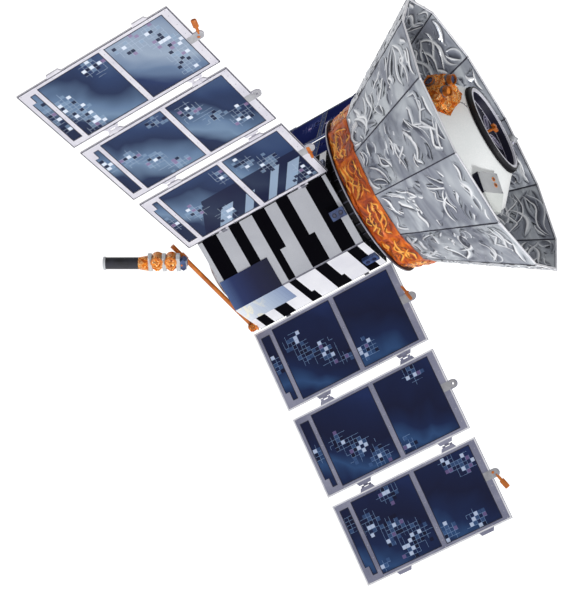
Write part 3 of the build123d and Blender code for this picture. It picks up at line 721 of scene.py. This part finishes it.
def add_shield_seams():
    bm = bmesh.new()
    for i in range(shield_sides):
        azimuth = shield_corner_azimuth + facet_step * i
        low = polar(shield_aft_radius, azimuth, shield_low.z + 0.004)
        high = polar(shield_rim_radius, azimuth, shield_high.z - 0.004)
        outward = polar(1, azimuth + 90).cross(high - low).normalized()
        for out in (0.0035, -0.0085):
            bar(bm, low + outward * out, high + outward * out, 0.016, 0.007, outward)
    finish_piece("shield_seams", bm, "dark_metal")


def add_shield_bracket():
    """A pale bracket with a bent tube, at the aft end of the shield"""
    facet = 9
    bm = bmesh.new()
    middle, beside, above = (shield_film.place(facet, x, y, 0.012) for x, y in
                             ((0.367, 0.145), (0.4, 0.145), (0.367, 0.2)))
    along = (beside - middle).normalized()
    up = (above - middle).normalized()
    turn = Matrix((along, up, along.cross(up))).transposed().to_4x4()
    made = slab_box(bm, (0.075, 0.1, 0.034), Matrix.Translation(middle) @ turn)
    edges = {edge for vert in made for edge in vert.link_edges}
    bmesh.ops.bevel(bm, geom=list(edges), offset=0.01, segments=3, profile=0.5, affect="EDGES", material=-1)
    route = [(0.385, 0.12), (0.42, 0.09), (0.475, 0.06), (0.545, 0.05), (0.61, 0.062), (0.66, 0.09), (0.7, 0.12)]
    wire(bm, [shield_film.place(facet, *spot, 0.014 if spot == route[-1] else 0.026) for spot in route], 0.011, 10)
    finish_piece("shield_bracket", bm, "rim_and_highlight_paint")


# Tank, telescope mouth and radiometers
leaf_count = 6
leaf_start = 0.07
leaf_length = 0.39
leaf_half_width = 0.065
# The tank's weld seam: azimuth, z
seam_route = [(-58, 3.40), (-60.5, 3.48), (-61.5, 3.53), (-63.6, 3.58), (-66.9, 3.653), (-70.0, 3.72),
              (-69.5, 3.765), (-67.9, 3.8), (-62.0, 3.825)]
radiometer_columns = ("azimuth", "outside", "behind_mouth", "yaw", "lean", "turn", "depth", "length", "width")
radiometers = {name: dict(zip(radiometer_columns, row)) for name, row in {
    "gold": (-70.5, 0.15, 0.215, 0, 0, 31, 0.44, 0.3, 0.39),
    "grey": (14, -0.014, 0.145, -43, 70, 16, 0.25, 0.37, 0.265),
    "rear": (145, 0.15, 0.2, 0, 0, 31, 0.44, 0.29, 0.33)}.items()}
horn_radius = 0.062
horn_wall = 0.007
horn_inset = 0.08
horn_spots = (-0.135, 0.035)
port_spot = (-0.067, -0.053)


def tank_wall(z):
    """The tank's radius at a height, on its wall or its shoulder"""
    share = min(max((z - tank_forward_z) / (shoulder_z - tank_forward_z), 0), 1)
    return tank_radius + (shoulder_radius - tank_radius) * share


def radiometer_matrix(name):
    size = radiometers[name]
    face = Matrix.Translation((tank_radius + size["outside"], 0, shoulder_z - size["behind_mouth"]))
    turns = turned(size["yaw"]) @ turned(-size["lean"], "Y") @ turned(-size["turn"], "X")
    return turned(size["azimuth"]) @ face @ turns


def leaf_edge(share, steps=10):
    """One half of a leaf's outline, shrunk about its middle"""
    radius = (leaf_length ** 2 / 4 + leaf_half_width ** 2) / (2 * leaf_half_width)
    reaches = [(i / steps - 0.5) * leaf_length for i in range(steps + 1)]
    return [(leaf_start + leaf_length / 2 + x * share,
             (math.sqrt(radius ** 2 - x ** 2) - radius + leaf_half_width) * share) for x in reaches]


def add_mouth():
    """The mouth's dark wall, leaf-shaped petals on its plate, screws on the tee"""
    liner, petals, leaves, screws = (bmesh.new() for _ in range(4))
    inner = mouth_radius - 0.005
    collar(liner, inner, mouth_radius - 0.0005, plate_z + 0.0005, shoulder_z + 0.045)
    collar(petals, inner - 0.012, inner - 0.004, plate_z, plate_z + 0.004)
    for i in range(leaf_count):
        turn = Matrix.Rotation(math.tau / leaf_count * i, 3, "Z")
        for share, radius in ((1.0, 0.0048), (0.62, 0.0036)):
            for side in (-1, 1):
                wire(petals, [turn @ Vector((x, side * y, plate_z + radius * 0.8)) for x, y in leaf_edge(share)],
                     radius)
        edge = leaf_edge(0.98)
        flat = edge + [(x, -y) for x, y in edge[-2:0:-1]]
        polygon_plate(leaves, [turn @ Vector((x, y, plate_z + 0.0002)) for x, y in flat], (0, 0, 1), 0.0015)
    for azimuth in (0, 90, 180, 270):
        stud(screws, polar(0.047, azimuth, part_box("mouth_tee")[1].z), (0, 0, 1), 0.005, 0.002, 8)
    finish_piece("mouth_liner", liner, "liner_paint")
    finish_piece("petal_outlines", petals, "petal_paint")
    finish_piece("petal_plates", leaves, "leaf_paint")
    finish_piece("tee_screws", screws, "screw_metal")


def add_tank_seam():
    """The weld seam with its short clips, and the bolts of the flange"""
    seam, bolts = bmesh.new(), bmesh.new()
    route = [polar(tank_wall(z) + 0.002, azimuth, z) for azimuth, z in seam_route]
    wire(seam, route, 0.004)
    for before, after in zip(route, route[1:]):
        for share in (0.25, 0.75):
            spot = before.lerp(after, share)
            outward = Vector((spot.x, spot.y, 0)).normalized()
            across = (after - before).cross(outward).normalized() * 0.014
            bar(seam, spot - across, spot + across, 0.005, 0.006, outward)
    for i in range(36):
        stud(bolts, polar(shoulder_radius - 0.022, i * 10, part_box("mouth_flange")[1].z), (0, 0, 1), 0.006, 0.003, 6)
    finish_piece("tank_seam", seam, "seam_paint")
    finish_piece("flange_bolts", bolts, "screw_metal")


def add_gold_radiometer():
    """The crumpled foil over the gold radiometer, trimmed where it meets the tank"""
    size = Vector([radiometers["gold"][key] for key in ("depth", "width", "length")])
    to_middle = Vector((size.x / 2, 0, 0))
    bm = bmesh.new()
    slab_box(bm, size, Matrix.Translation(-to_middle))
    bmesh.ops.subdivide_edges(bm, edges=bm.edges[:], cuts=23, use_grid_fill=True)
    bm.normal_update()
    shifts = {}
    for vert in bm.verts:
        local = vert.co + to_middle
        near = sorted(size[axis] / 2 - abs(local[axis]) for axis in range(3))
        rounded = max(0.0, 0.03 - near[1]) * 0.5
        ridge = abs(noise.noise(vert.co * 11)) + 0.5 * abs(noise.noise(vert.co * 26))
        shifts[vert] = -vert.normal * (rounded + 0.028 * min(1.0, ridge * 1.6))
    for vert, shift in shifts.items():
        vert.co += shift
    bmesh.ops.transform(bm, matrix=radiometer_matrix("gold"), verts=bm.verts)
    for vert in bm.verts:
        out = max(1, (tank_wall(vert.co.z) + 0.003) / vert.co.xy.length)
        vert.co.x *= out
        vert.co.y *= out
    finish_piece("gold_wrapping", bm, "gold_wrap", replaced=["radiometer_gold"], sharp=60)


def add_radiometer_details():
    """Lenses, caps and collars of the horns, dots at the corners of the boxes, a dark side plate on the grey one as
    painted shade
    """
    lenses, amber, rims, dots, shade_plate = (bmesh.new() for _ in range(5))
    bore = horn_radius - horn_wall - 0.0005
    for name in ("gold", "rear"):
        place = radiometer_matrix(name)
        top = radiometers[name]["length"] / 2
        spots = [(Vector((-horn_inset, y, top)), Vector((0, 0, 1)), 0.05) for y in horn_spots]
        spots.append((Vector((0, *port_spot)), Vector((1, 0, 0)), 0.014))
        for number, (spot, axis, height) in enumerate(spots):
            outward = place.to_3x3() @ axis
            stud(amber if number == 1 and name == "gold" else lenses, place @ (spot + axis * (horn_wall + 0.0003)),
                 outward, bore, height - horn_wall, 28, bore * 0.8)
            collar(rims, horn_radius + 0.0004, horn_radius + 0.008, -0.02, 0.008, place @ spot, outward, 28)
    for name in ("grey", "rear"):
        size = radiometers[name]
        place = radiometer_matrix(name)
        outward = place.to_3x3() @ Vector((1, 0, 0))
        for y in (-1, 1):
            for z in (-1, 1):
                spot = Vector((0, y * (size["width"] / 2 - 0.018), z * (size["length"] / 2 - 0.018)))
                stud(dots, place @ spot, outward, 0.006, 0.003, 8)
    size = radiometers["grey"]
    place = radiometer_matrix("grey")
    outward = place.to_3x3() @ Vector((1, 0, 0))
    for y, z in ((-0.05, 0.078), (0.027, 0.085)):
        spot = place @ Vector((0, y, z))
        turned_ring(amber, [(0.0165, 0), (0.03, 0), (0.026, 0.006), (0.0165, 0.006)], spot, outward, 24)
        stud(lenses, spot, outward, 0.0162, 0.003, 20)
    # A dark plate over the grey box's unlit side, as painted shade
    slab_box(shade_plate, (0.1, size["width"] - 0.004, 0.0015),
             place @ Matrix.Translation((-0.055, 0, -size["length"] / 2 - 0.0012)))
    finish_piece("radiometer_shade_plate", shade_plate, "gasket_and_shade_paint")
    finish_piece("horn_lenses", lenses, "lens_glass")
    finish_piece("horn_caps", amber, "amber_paint")
    finish_piece("horn_collars", rims, "hinge_metal")
    finish_piece("corner_dots", dots, "dark_metal")


# Antenna head, whose own +Y runs along its tube, and the mast's root
head_matrix = Matrix.Translation((0.595, -0.662951, -0.119048)) @ turned(58.8, "X") @ turned(180)
mast_root = Vector((0.445, 0.602, 0.07))


def add_antenna_details():
    """Rings and hubs of the drums, the tube's end ring, pale edges of the block"""
    rings, hubs, pits, pale = (bmesh.new() for _ in range(4))
    for y in (0.133, 0.305):
        for side in (-1, 1):
            spot = Vector((side * 0.0781, y, 0.045))
            turned_ring(rings, [(0.05, 0), (0.072, 0), (0.068, 0.009), (0.054, 0.009)], spot, (side, 0, 0), 40)
            stud(pits, spot, (side, 0, 0), 0.0495, 0.002, 32)
            stud(hubs, spot, (side, 0, 0), 0.024, 0.011, 24, 0.019)
    turned_ring(pale, [(0.0745, 0.94), (0.082, 0.944), (0.082, 0.966), (0.0745, 0.9715), (0.058, 0.9715),
                       (0.058, 0.9702), (0.0744, 0.9702)], (0, 0, 0), (0, 1, 0), 40)
    for side in (-1, 1):
        for y in (-0.057, 0.022):
            bar(pale, (side * 0.0605, y, -0.07), (side * 0.0605, y, 0.07), 0.006, 0.003, (side, 0, 0))
    for piece, bm, finish, slot in (("drum_rings", rings, "drum_paint", "orange_paint"),
                                    ("drum_hubs", hubs, "amber_paint", "orange_paint"),
                                    ("drum_pits", pits, "gold_wrap", "orange_paint"),
                                    ("antenna_trim", pale, "saddle_paint", "white_paint")):
        bmesh.ops.transform(bm, matrix=head_matrix, verts=bm.verts)
        finish_piece(piece, bm, finish, "antenna_head")


def add_mast_wrap():
    """Crumpled foil round the mast's hinge, rounded about the hinge line so that it turns in place"""
    bm = bmesh.new()
    bmesh.ops.create_icosphere(bm, subdivisions=5, radius=1)
    for vert in bm.verts:
        ridge = abs(noise.noise(vert.co * 2.6)) + 0.5 * abs(noise.noise(vert.co * 6))
        reach = 1 - 0.3 * min(1, ridge * 1.7)
        vert.co = mast_root + vert.co * Vector((0.105, 0.066, 0.066)) * reach
    finish_piece("mast_wrap", bm, "gold_wrap", "mast", sharp=60)


# Solar cells: every cell is a face of its own, with lines between cells.
# Windows of a panel: from and to across it, from and to along it
cell_windows = {"strip": (0.1, 0.854, 0.07, 0.18), "strip_step": (0.854, 0.964, 0.125, 0.18),
                "aft": (0.06, 1.004, 0.25, 1.072), "fore": (0.06, 1.004, 1.154, 1.91)}
cell_size = 0.05
cell_line = 0.0026
# Busy groups of cells on the lit side of each panel: across the panel, along it, and their reach
cell_groups = {
    "a1": [(0.82, 1.0, 0.13), (0.5, 0.44, 0.14), (0.22, 0.7, 0.13), (0.8, 1.34, 0.12), (0.62, 1.55, 0.14),
           (0.49, 0.12, 0.14), (0.2, 1.8, 0.16)],
    "a2": [(0.88, 0.94, 0.11), (0.6, 0.38, 0.13), (0.37, 0.58, 0.14), (0.14, 0.78, 0.13), (0.67, 0.12, 0.12),
           (0.76, 1.32, 0.15), (0.51, 1.5, 0.13), (0.33, 1.76, 0.15)],
    "a3": [(0.9, 0.9, 0.16), (0.62, 0.3, 0.12), (0.4, 0.38, 0.15), (0.16, 0.42, 0.14), (0.56, 0.12, 0.3),
           (0.9, 1.64, 0.17), (0.7, 1.75, 0.16), (0.86, 1.38, 0.15), (0.4, 1.76, 0.13), (0.2, 1.74, 0.13)],
    "b1": [(0.33, 0.45, 0.13), (0.5, 0.5, 0.13), (0.63, 0.76, 0.16), (0.78, 0.97, 0.1), (0.49, 0.12, 0.12),
           (0.82, 1.3, 0.13)],
    "b2": [(0.5, 0.44, 0.12), (0.68, 0.62, 0.17), (0.86, 0.84, 0.15), (0.51, 0.12, 0.12), (0.13, 1.66, 0.13),
           (0.92, 1.26, 0.1)],
    "b3": [(0.37, 0.36, 0.14), (0.58, 0.6, 0.17), (0.74, 0.86, 0.17), (0.88, 0.72, 0.13), (0.14, 0.72, 0.14),
           (0.92, 0.3, 0.09), (0.3, 0.12, 0.12), (0.16, 1.6, 0.13), (0.24, 1.76, 0.13), (0.88, 1.24, 0.12),
           (0.9, 1.62, 0.14)],
}
cell_tones = {letter: dict(zip(("bright", "dark", "accent", "tint", "line"), codes)) for letter, codes in {
    "a": ("DCE4F2", "131A38", "8F749C", "8AA4C0", "B4C4D8"),
    "b": ("C4D2EE", "04072A", "7C6A9C", "4C6C9E", "8FB0DC"),
    "c": ("B4A8D0", "0C0E30", "6C4E94", "4C5C90", "8A8CC0")}.items()}
# Tones of the cells in a busy group: the draw below which a cell takes each, and how far it covers the glass
cell_draws = ((0.14, "bright", 0.95), (0.3, "dark", 0.92), (0.37, "accent", 0.7), (0.66, "tint", 0.45))


def wing_corner(letter):
    return polar(wing_corner_radius, wing_azimuths[letter])


def panel_matrix(letter, number):
    start = Matrix.Translation((panel_root_gap + (number - 1) * panel_pitch, 0, panel_aft_z))
    return Matrix.Translation(wing_corner(letter)) @ turned(wing_azimuths[letter] - wing_lag) @ start


def random_groups(chance):
    return [(chance.uniform(0.1, 0.95), chance.uniform(0.3, 1.85), chance.uniform(0.1, 0.17)) for _ in range(6)]


def cell_colour(chance, tones, strength):
    """Colour of one cell, with its cover as alpha"""
    if chance.random() <= strength:
        draw = chance.random()
        for limit, tone, cover in cell_draws:
            if draw < limit:
                return paint(tones[tone])[:3] + (cover,)
    return 0, 0, 0, 0


def slab(bm, x0, x1, z0, z1):
    """A thin slab cut into cells: its two broad sides are returned"""
    old = set(bm.edges)
    slab_box(bm, (x1 - x0, 2 * cell_half_thickness, z1 - z0), Matrix.Translation(((x0 + x1) / 2, 0, (z0 + z1) / 2)))
    for axis, count in ((0, round((x1 - x0) / cell_size)), (2, round((z1 - z0) / cell_size))):
        edges = [edge for edge in bm.edges if edge not in old
                 and abs(edge.verts[0].co[axis] - edge.verts[1].co[axis]) > 0.0001]
        if count > 1:
            bmesh.ops.subdivide_edges(bm, edges=edges, cuts=count - 1, use_grid_fill=True)
    bm.normal_update()
    faces = {face for edge in bm.edges if edge not in old for face in edge.link_faces}
    return [face for face in faces if abs(face.normal.y) > 0.9]


def add_cells(letter, number):
    """The cells of one panel, with a tone on each and bright lines through the busy groups"""
    chance = random.Random(f"{letter}{number}")
    tones = cell_tones[letter]
    bm = bmesh.new()
    broad = []
    for window in cell_windows.values():
        broad += slab(bm, *window)
    bm.normal_update()
    broad.sort(key=lambda face: (round(face.normal.y), *(round(x, 3) for x in face.calc_center_median().xz)))
    layer = bm.loops.layers.float_color.new("cell_tone")
    lit_side = -1 if letter == "b" else 1
    groups = {lit_side: cell_groups.get(f"{letter}{number}", random_groups(chance)),
              -lit_side: random_groups(chance)}

    def tint(face, colour):
        for corner in face.loops:
            corner[layer] = colour

    def busy(side, middle):
        """How busy a spot is, from 0 to 1"""
        nearest = (1.25 - math.hypot(middle.x - x, middle.z - z) / reach for x, z, reach in groups[side])
        return min(max(0, *nearest), 1)

    for face in bm.faces:
        tint(face, (0, 0, 0, 0))
    for face in broad:
        side = 1 if face.normal.y > 0 else -1
        tint(face, cell_colour(chance, tones, busy(side, face.calc_center_median())))
    inner = set(broad)
    bmesh.ops.inset_individual(bm, faces=broad, thickness=cell_line)
    line_shade = paint(tones["line"])[:3]
    runs = {}
    for face in bm.faces:
        if face in inner or abs(face.normal.y) < 0.9:
            continue
        middle = face.calc_center_median()
        side = 1 if face.normal.y > 0 else -1
        spots = [corner.vert.co for corner in face.loops]
        width, height = (max(spot[axis] for spot in spots) - min(spot[axis] for spot in spots) for axis in (0, 2))
        fixed, free = (middle.x, middle.z) if height > width else (middle.z, middle.x)
        key = (side, height > width, round(fixed / cell_size * 2), int(free / (cell_size * 3.5)))
        if key not in runs:
            runs[key] = chance.random()
        tint(face, line_shade + (0.75 if runs[key] < busy(side, middle) * 1.15 else 0,))
    bmesh.ops.transform(bm, matrix=panel_matrix(letter, number), verts=bm.verts)
    finish_piece(f"cells_{letter}_{number}", bm, f"solar_cells_{letter}",
                 f"wing_{letter}_panel_{number}", [f"wing_{letter}_cells_{number}"], merge=False)


# Painted reflection of the striped bus, as the picture shows it in wing a's root panel. Bars start and end along the
# slant
reflection_width = 0.62
reflection_slant = 0.7
reflection_span = 2.0
reflection_bars = ((0.453, 0.62), (0.805, 0.935), (1.154, 1.27), (1.395, 1.557))
reflection_bar_reach = ((0.0, 0.36), (1.05, 0.53), (1.33, 0.48))


def painted_bus_reflection(finish, base, along, side, up):
    # Paints the bus's reflection into the cells' colour, on the panel's lit side only
    slant = (up - along * reflection_slant) / reflection_span
    shown = (along < reflection_width) * (up > along * 0.53 + 0.255) * (side > 0.0)
    stops = [(0.0, 0.0)]
    for start, end in reflection_bars:
        stops += [(start / reflection_span, 1.0), (end / reflection_span, 0.0)]
    bars = finish.ramp(slant, stops, "CONSTANT")
    reach = finish.ramp(slant, [(start / reflection_span, far) for start, far in reflection_bar_reach], "CONSTANT")
    reflection = finish.mix(bars * (along < reach), "121838", "93A6BE")
    return finish.mix(shown * 0.9, base, reflection)


# Glass of each wing, whose gradient is a painted reflection of the sky: how its tone falls across and along a window,
# the tones, and those of its far windows
window_span = 1.24
aft_window_z = panel_aft_z + 0.661
fore_window_z = panel_aft_z + 1.532
mid_rib_z = panel_aft_z + 1.113
wing_glass_reflections = {
    "a": ((0.72, 0.69), [(0.0, "18223F"), (0.14, "1D2B4C"), (0.3, "7088A4"), (0.4, "5F7796"), (0.62, "1D2B4C"),
                         (0.8, "283A60"), (1.0, "3E5275")],
          [(0.0, "18223F"), (0.2, "23325A"), (0.4, "667B99"), (0.55, "97A6BA"), (0.8, "8C9CB2"), (1.0, "6C7E9A")]),
    "b": ((0.894, -0.448), [(0.0, "1B2C5C"), (0.2, "101D46"), (0.5, "0A1236"), (0.7, "13244E"), (0.86, "30507F"),
                            (1.0, "152650")], None),
    "c": ((0.6, 0.6), [(0.0, "161C4A"), (0.4, "1A2050"), (0.7, "242C62"), (1.0, "3A4680")], None),
}


def cell_finish(letter):
    """Cell glass: each window has a soft gradient, a painted reflection of the sky, and each cell its own tone over it
    """
    fall, stops, far_reflection_stops = wing_glass_reflections[letter]
    shine = 0.0 if letter == "c" else 0.12
    finish = Finish(f"solar_cells_{letter}", 0.32, 0.0, shine, coat=shine / 4, coat_roughness=0.08)
    azimuth = math.radians(wing_azimuths[letter] - wing_lag)
    place = finish.mapped(finish.place(), location=tuple(wing_corner(letter)), rotation=(0, 0, azimuth),
                          kind="TEXTURE")
    along, side, up = (finish.axis(place, number) for number in range(3))
    turns = (along - panel_root_gap) / panel_pitch
    across = turns.reckon("FRACT") * panel_pitch - panel_width / 2
    is_fore = up > mid_rib_z
    height = up - aft_window_z - is_fore * (fore_window_z - aft_window_z)
    sway = finish.noise(finish.mapped(place, (1.6, 1.6, 1.6)), 1.0, 2, 0.5)
    share = across * (fall[0] / window_span) + height * (fall[1] / window_span) + sway * 0.5 + 0.25
    base = finish.ramp(share, stops)
    # The far fore windows of wing a are paler as a painted reflection
    if far_reflection_stops:
        base = finish.mix(is_fore * (turns > 2.0), base, finish.ramp(share, far_reflection_stops))
    fine = finish.noise(finish.place(), 70, 2)
    base = finish.mix(finish.ramp(fine, [(0.3, 0.0), (0.7, 0.06)]), base, stops[-1][1])
    # Wing a's root panel carries the striped bus as a painted reflection
    if letter == "a":
        base = painted_bus_reflection(finish, base, along, side, up)
    cover, tone = (finish.node("VertexColor", {}, output, layer_name="cell_tone") for output in ("Alpha", "Color"))
    finish.colour(finish.mix(cover, base, tone))
    finish.relief(fine, 0.03, 0.001)


# Panel trim: dark strips round the cell windows as painted shade, strips on the rails with painted shade on wing a and
# a painted highlight on wing b, screws, tab plates and pin sleeves
tab_along = 0.49
tab_half_width = 0.055
tab_proud = 0.013
tab_round_z = panel_length + 0.045
tab_bore = 0.0165
lock_pins = {1: {"along": 0.425, "height": 0.004, "tilt": 13}, 3: {"along": 0.608, "height": 0.08, "tilt": 17}}
sleeve_start = -0.012
sleeve_length = 0.124
sleeve_radius = 0.034
sleeve_round = 0.012
sleeve_bore = 0.0182
sleeve_flatness = 0.55
# Strips on the panels' rails: dark as painted shade on wing a, white as a painted highlight on wing b, metal on wing c
edge_strip_shade_and_highlight = {"a": "gasket_and_shade_paint", "b": "rim_and_highlight_paint", "c": "hinge_metal"}


def window_edges(name, x0, x1, z0, z1):
    """Runs of the dark strip round a window, painted shade in the gap between frame and cells. The two parts of the
    stepped strip share an open side
    """
    edges = [((x, z0 - 0.008), (x, z1 + 0.008)) for x in (x0 - 0.004, x1 + 0.004)]
    edges += [((x0, z), (x1, z)) for z in (z0 - 0.004, z1 + 0.004)]
    open_side = {"strip": 1, "strip_step": 0}.get(name)
    return [edge for i, edge in enumerate(edges) if i != open_side]


def add_tab_plate(bm, number, side):
    """A rounded plate on one face of the tab, with the hole of the panel that has no pin"""
    y = side * (tab_proud + 0.0001)
    reach = tab_half_width - 0.003
    corners = [(-reach, -0.143), (reach, -0.143)]
    if number in lock_pins:
        corners += [polar(reach, angle).xy for angle in range(0, 181, 15)]
    else:
        corners += [(reach, -0.04), (-reach, -0.04)]
        collar(bm, tab_bore, reach, 0, 0.0015, (tab_along, y, tab_round_z), (0, side, 0), 32)
    polygon_plate(bm, [(tab_along + x, y, tab_round_z + z) for x, z in corners], (0, side, 0), 0.0013)


def add_pin_sleeve(bm, number):
    """An orange sleeve round the lock pin, flattened so that the folded panels clear it"""
    pin = lock_pins[number]
    tilt = math.radians(pin["tilt"])
    run = Vector((math.cos(tilt), 0, math.sin(tilt)))
    half = sleeve_length / 2
    profile = [(sleeve_bore, 0)]
    for angle in (-90, -45, 0, 1, 45, 90):
        cosine, sine = math.cos(math.radians(angle)), abs(math.sin(math.radians(angle)))
        profile.append((sleeve_radius - sleeve_round + sleeve_round * cosine,
                        half + (half - sleeve_round + sleeve_round * sine) * (1 if angle > 0 else -1)))
    profile.append((sleeve_bore, sleeve_length))
    middle = Vector((pin["along"], 0, panel_length + pin["height"]))
    made = turned_ring(bm, profile, middle + run * sleeve_start, run, 24)
    bmesh.ops.scale(bm, vec=(1, sleeve_flatness, 1), verts=made)
    if number == 3:
        for side in (-1, 1):
            stud(bm, (tab_along - 0.012, side * (tab_proud + 0.0014), tab_round_z - 0.02), (0, side, 0), 0.017,
                 0.003, 20)


def add_panel_trim(letter, number):
    shadow_gap_strips, edges, screws, plates = (bmesh.new() for _ in range(4))
    lip = 0.0012
    strip_width = 0.018 if letter == "b" else 0.01
    margin = strip_width / 2 + 0.001
    for side in (-1, 1):
        y = side * (panel_half_thickness + lip / 2 + 0.0001)
        for name, window in cell_windows.items():
            for start, end in window_edges(name, *window):
                # Dark strips round each window: painted shade in the gap between frame and cells
                bar(shadow_gap_strips, (start[0], y, start[1]), (end[0], y, end[1]), 0.01, lip, (0, side, 0))
        strips = [((x, 0.001), (x, panel_length - 0.001)) for x in (margin, panel_width - margin)]
        strips.append(((2 * margin, margin), (panel_width - 2 * margin, margin)))
        strips += [((2 * margin, panel_length - margin), (tab_along - tab_half_width, panel_length - margin)),
                   ((tab_along + tab_half_width, panel_length - margin),
                    (panel_width - 2 * margin, panel_length - margin))]
        for (x0, z0), (x1, z1) in strips:
            bar(edges, (x0, y, z0), (x1, y, z1), strip_width, lip, (0, side, 0))
        spots = [(x, 0.04 + 0.215 * i) for x in (0.03, panel_width - 0.03) for i in range(10)]
        spots += [(0.12 + 0.165 * i, z) for z in (0.215, 1.113, 1.965) for i in range(6) if z < 1.5 or i != 2]
        for x, z in spots:
            stud(screws, (x, side * panel_half_thickness, z), (0, side, 0), 0.0055, 0.002, 8)
        add_tab_plate(plates, number, side)
    trim = [("shadow_gap_strips", shadow_gap_strips, "gasket_and_shade_paint", "panel_frame"),
            ("edge_strips", edges, edge_strip_shade_and_highlight[letter], "panel_frame"),
            ("screws", screws, "screw_metal", "panel_frame"), ("tab_plates", plates, "tab_paint", "panel_frame")]
    if number in lock_pins:
        sleeve = bmesh.new()
        add_pin_sleeve(sleeve, number)
        trim.append(("pin_sleeve", sleeve, "orange_paint", "orange_paint"))
    for piece, bm, finish, slot in trim:
        bmesh.ops.transform(bm, matrix=panel_matrix(letter, number), verts=bm.verts)
        finish_piece(f"{piece}_{letter}_{number}", bm, finish, f"wing_{letter}_panel_{number}")


# Camera, light and floor
def add_camera():
    data = bpy.data.cameras.new("photo_camera")
    data.lens = 117.92
    data.sensor_width = 36
    data.sensor_fit = "AUTO"
    data.clip_end = 200
    camera = bpy.data.objects.new("photo_camera", data)
    scene.collection.objects.link(camera)
    right = Vector((-0.0580, 0.5454, 0.8362))
    down = Vector((0.5025, 0.7397, -0.4476))
    forward = Vector((-0.8626, 0.3942, -0.3169))
    turn = Matrix((right, -down, -forward)).transposed().to_4x4()
    camera.matrix_world = Matrix.Translation((21.4778, -9.1432, 8.3039)) @ turn
    scene.camera = camera


def add_light():
    for name, azimuth, elevation, energy, angle in (
            ("key_light", 42, 14, 2.0, 12), ("top_light", -60, 70, 0.38, 40), ("fill_light", -25, 15, 0.4, 60)):
        data = bpy.data.lights.new(name, "SUN")
        data.energy = energy
        data.angle = math.radians(angle)
        lamp = bpy.data.objects.new(name, data)
        scene.collection.objects.link(lamp)
        rise = math.radians(elevation)
        lamp.rotation_euler = polar(math.cos(rise), azimuth, math.sin(rise)).to_track_quat("Z", "Y").to_euler()
    world = bpy.data.worlds.new("studio")
    scene.world = world
    world.use_nodes = True
    background = world.node_tree.nodes["Background"]
    background.inputs["Color"].default_value = (1, 1, 1, 1)
    background.inputs["Strength"].default_value = 0.38


def add_floor():
    """A pale floor, white to the camera and to reflections, that keeps the object's shadow"""
    bm = bmesh.new()
    bmesh.ops.create_grid(bm, x_segments=1, y_segments=1, size=60)
    bmesh.ops.translate(bm, vec=(0, 0, box_at_start[0].z - 0.35), verts=bm.verts)
    mesh = bpy.data.meshes.new("floor")
    bm.to_mesh(mesh)
    bm.free()
    finish = Finish("floor_paint", 0.8, 0.0, 0.1)
    finish.colour(finish.ramp(finish.noise(finish.place(), 0.6, 3), [(0.3, 0.8), (0.7, 0.84)]))
    camera, glossy, through = (finish.node("LightPath", {}, f"Is {ray} Ray")
                               for ray in ("Camera", "Glossy", "Transmission"))
    shown = camera.reckon("MAXIMUM", glossy).reckon("MAXIMUM", through)
    plain = Amount(finish, finish.surface.outputs[0])
    glow = finish.node("Emission", {"Color": (1, 1, 1, 1), "Strength": 0.72})
    whole = finish.node("AddShader", {0: plain, 1: glow})
    blend = finish.node("MixShader", {0: shown, 1: plain, 2: whole})
    finish.join(finish.tree.nodes["Material Output"].inputs["Surface"], blend)
    mesh.materials.append(finish.material)
    floor = bpy.data.objects.new("floor", mesh)
    scene.collection.objects.link(floor)


mirror_finish()
for letter in wing_glass_reflections:
    cell_finish(letter)

coats = {
    "launch_ring": "bare_metal", "aft_deck": "deck_paint", "forward_deck": "black_paint",
    "side_panels_wide": "black_face", "side_panels_narrow": "black_face", "mirror_radiator": "mirror_radiator",
    "horizon_sensors": "sensor_paint", "sun_sensors": "sensor_paint", "root_brackets": "hinge_metal",
    "interface_drum": "black_paint", "instrument_deck": "deck_paint", "shield_rim": "rim_and_highlight_paint",
    "helium_tank": "tank_paint", "mouth_seal": "seal_rubber", "mouth_flange": "flange_paint",
    "mouth_plate": "liner_paint", "mouth_tee": "orange_paint", "radiometer_gold": "gold_wrap",
    "radiometer_grey": "box_paint", "radiometer_rear": "box_paint", "radiometer_fairings": "fairing_paint",
    "radiometer_horns": "horn_paint", "mast_bracket": "gold_wrap", "mast_rod": "orange_paint",
    "antenna_block": "sensor_paint", "antenna_clamps": "saddle_paint", "antenna_drums": "gold_wrap",
    "antenna_cup": "gold_wrap", "antenna_tube": "antenna_plastic",
}
for letter in wing_azimuths:
    for number in (1, 2, 3):
        coats[f"wing_{letter}_frame_{number}"] = f"frame_lit_and_shaded_paint_{letter}"
        coats[f"wing_{letter}_pin_{number}"] = "orange_paint"
for name, finish in coats.items():
    if name in nodes:
        mesh = nodes[name].data
        mesh.materials.clear()
        mesh.materials.append(finishes[finish].material)

# These tiles are darker as painted shade
add_stripe_tiles("wide_tiles", wide_faces, wide_bands, "shaded_wide_tile_paint")
add_stripe_tiles("narrow_tiles", narrow_faces, narrow_bands, "tile_paint")
add_corner_strips()
add_sensor_faces()
add_bus_trim()
add_shield()
add_shield_seams()
add_mouth()
add_tank_seam()
add_gold_radiometer()
add_radiometer_details()
add_shield_bracket()
add_antenna_details()
add_mast_wrap()
for letter in wing_azimuths:
    for number in (1, 2, 3):
        add_cells(letter, number)
        add_panel_trim(letter, number)

add_camera()
add_light()
add_floor()
scene.view_settings.view_transform = "Standard"
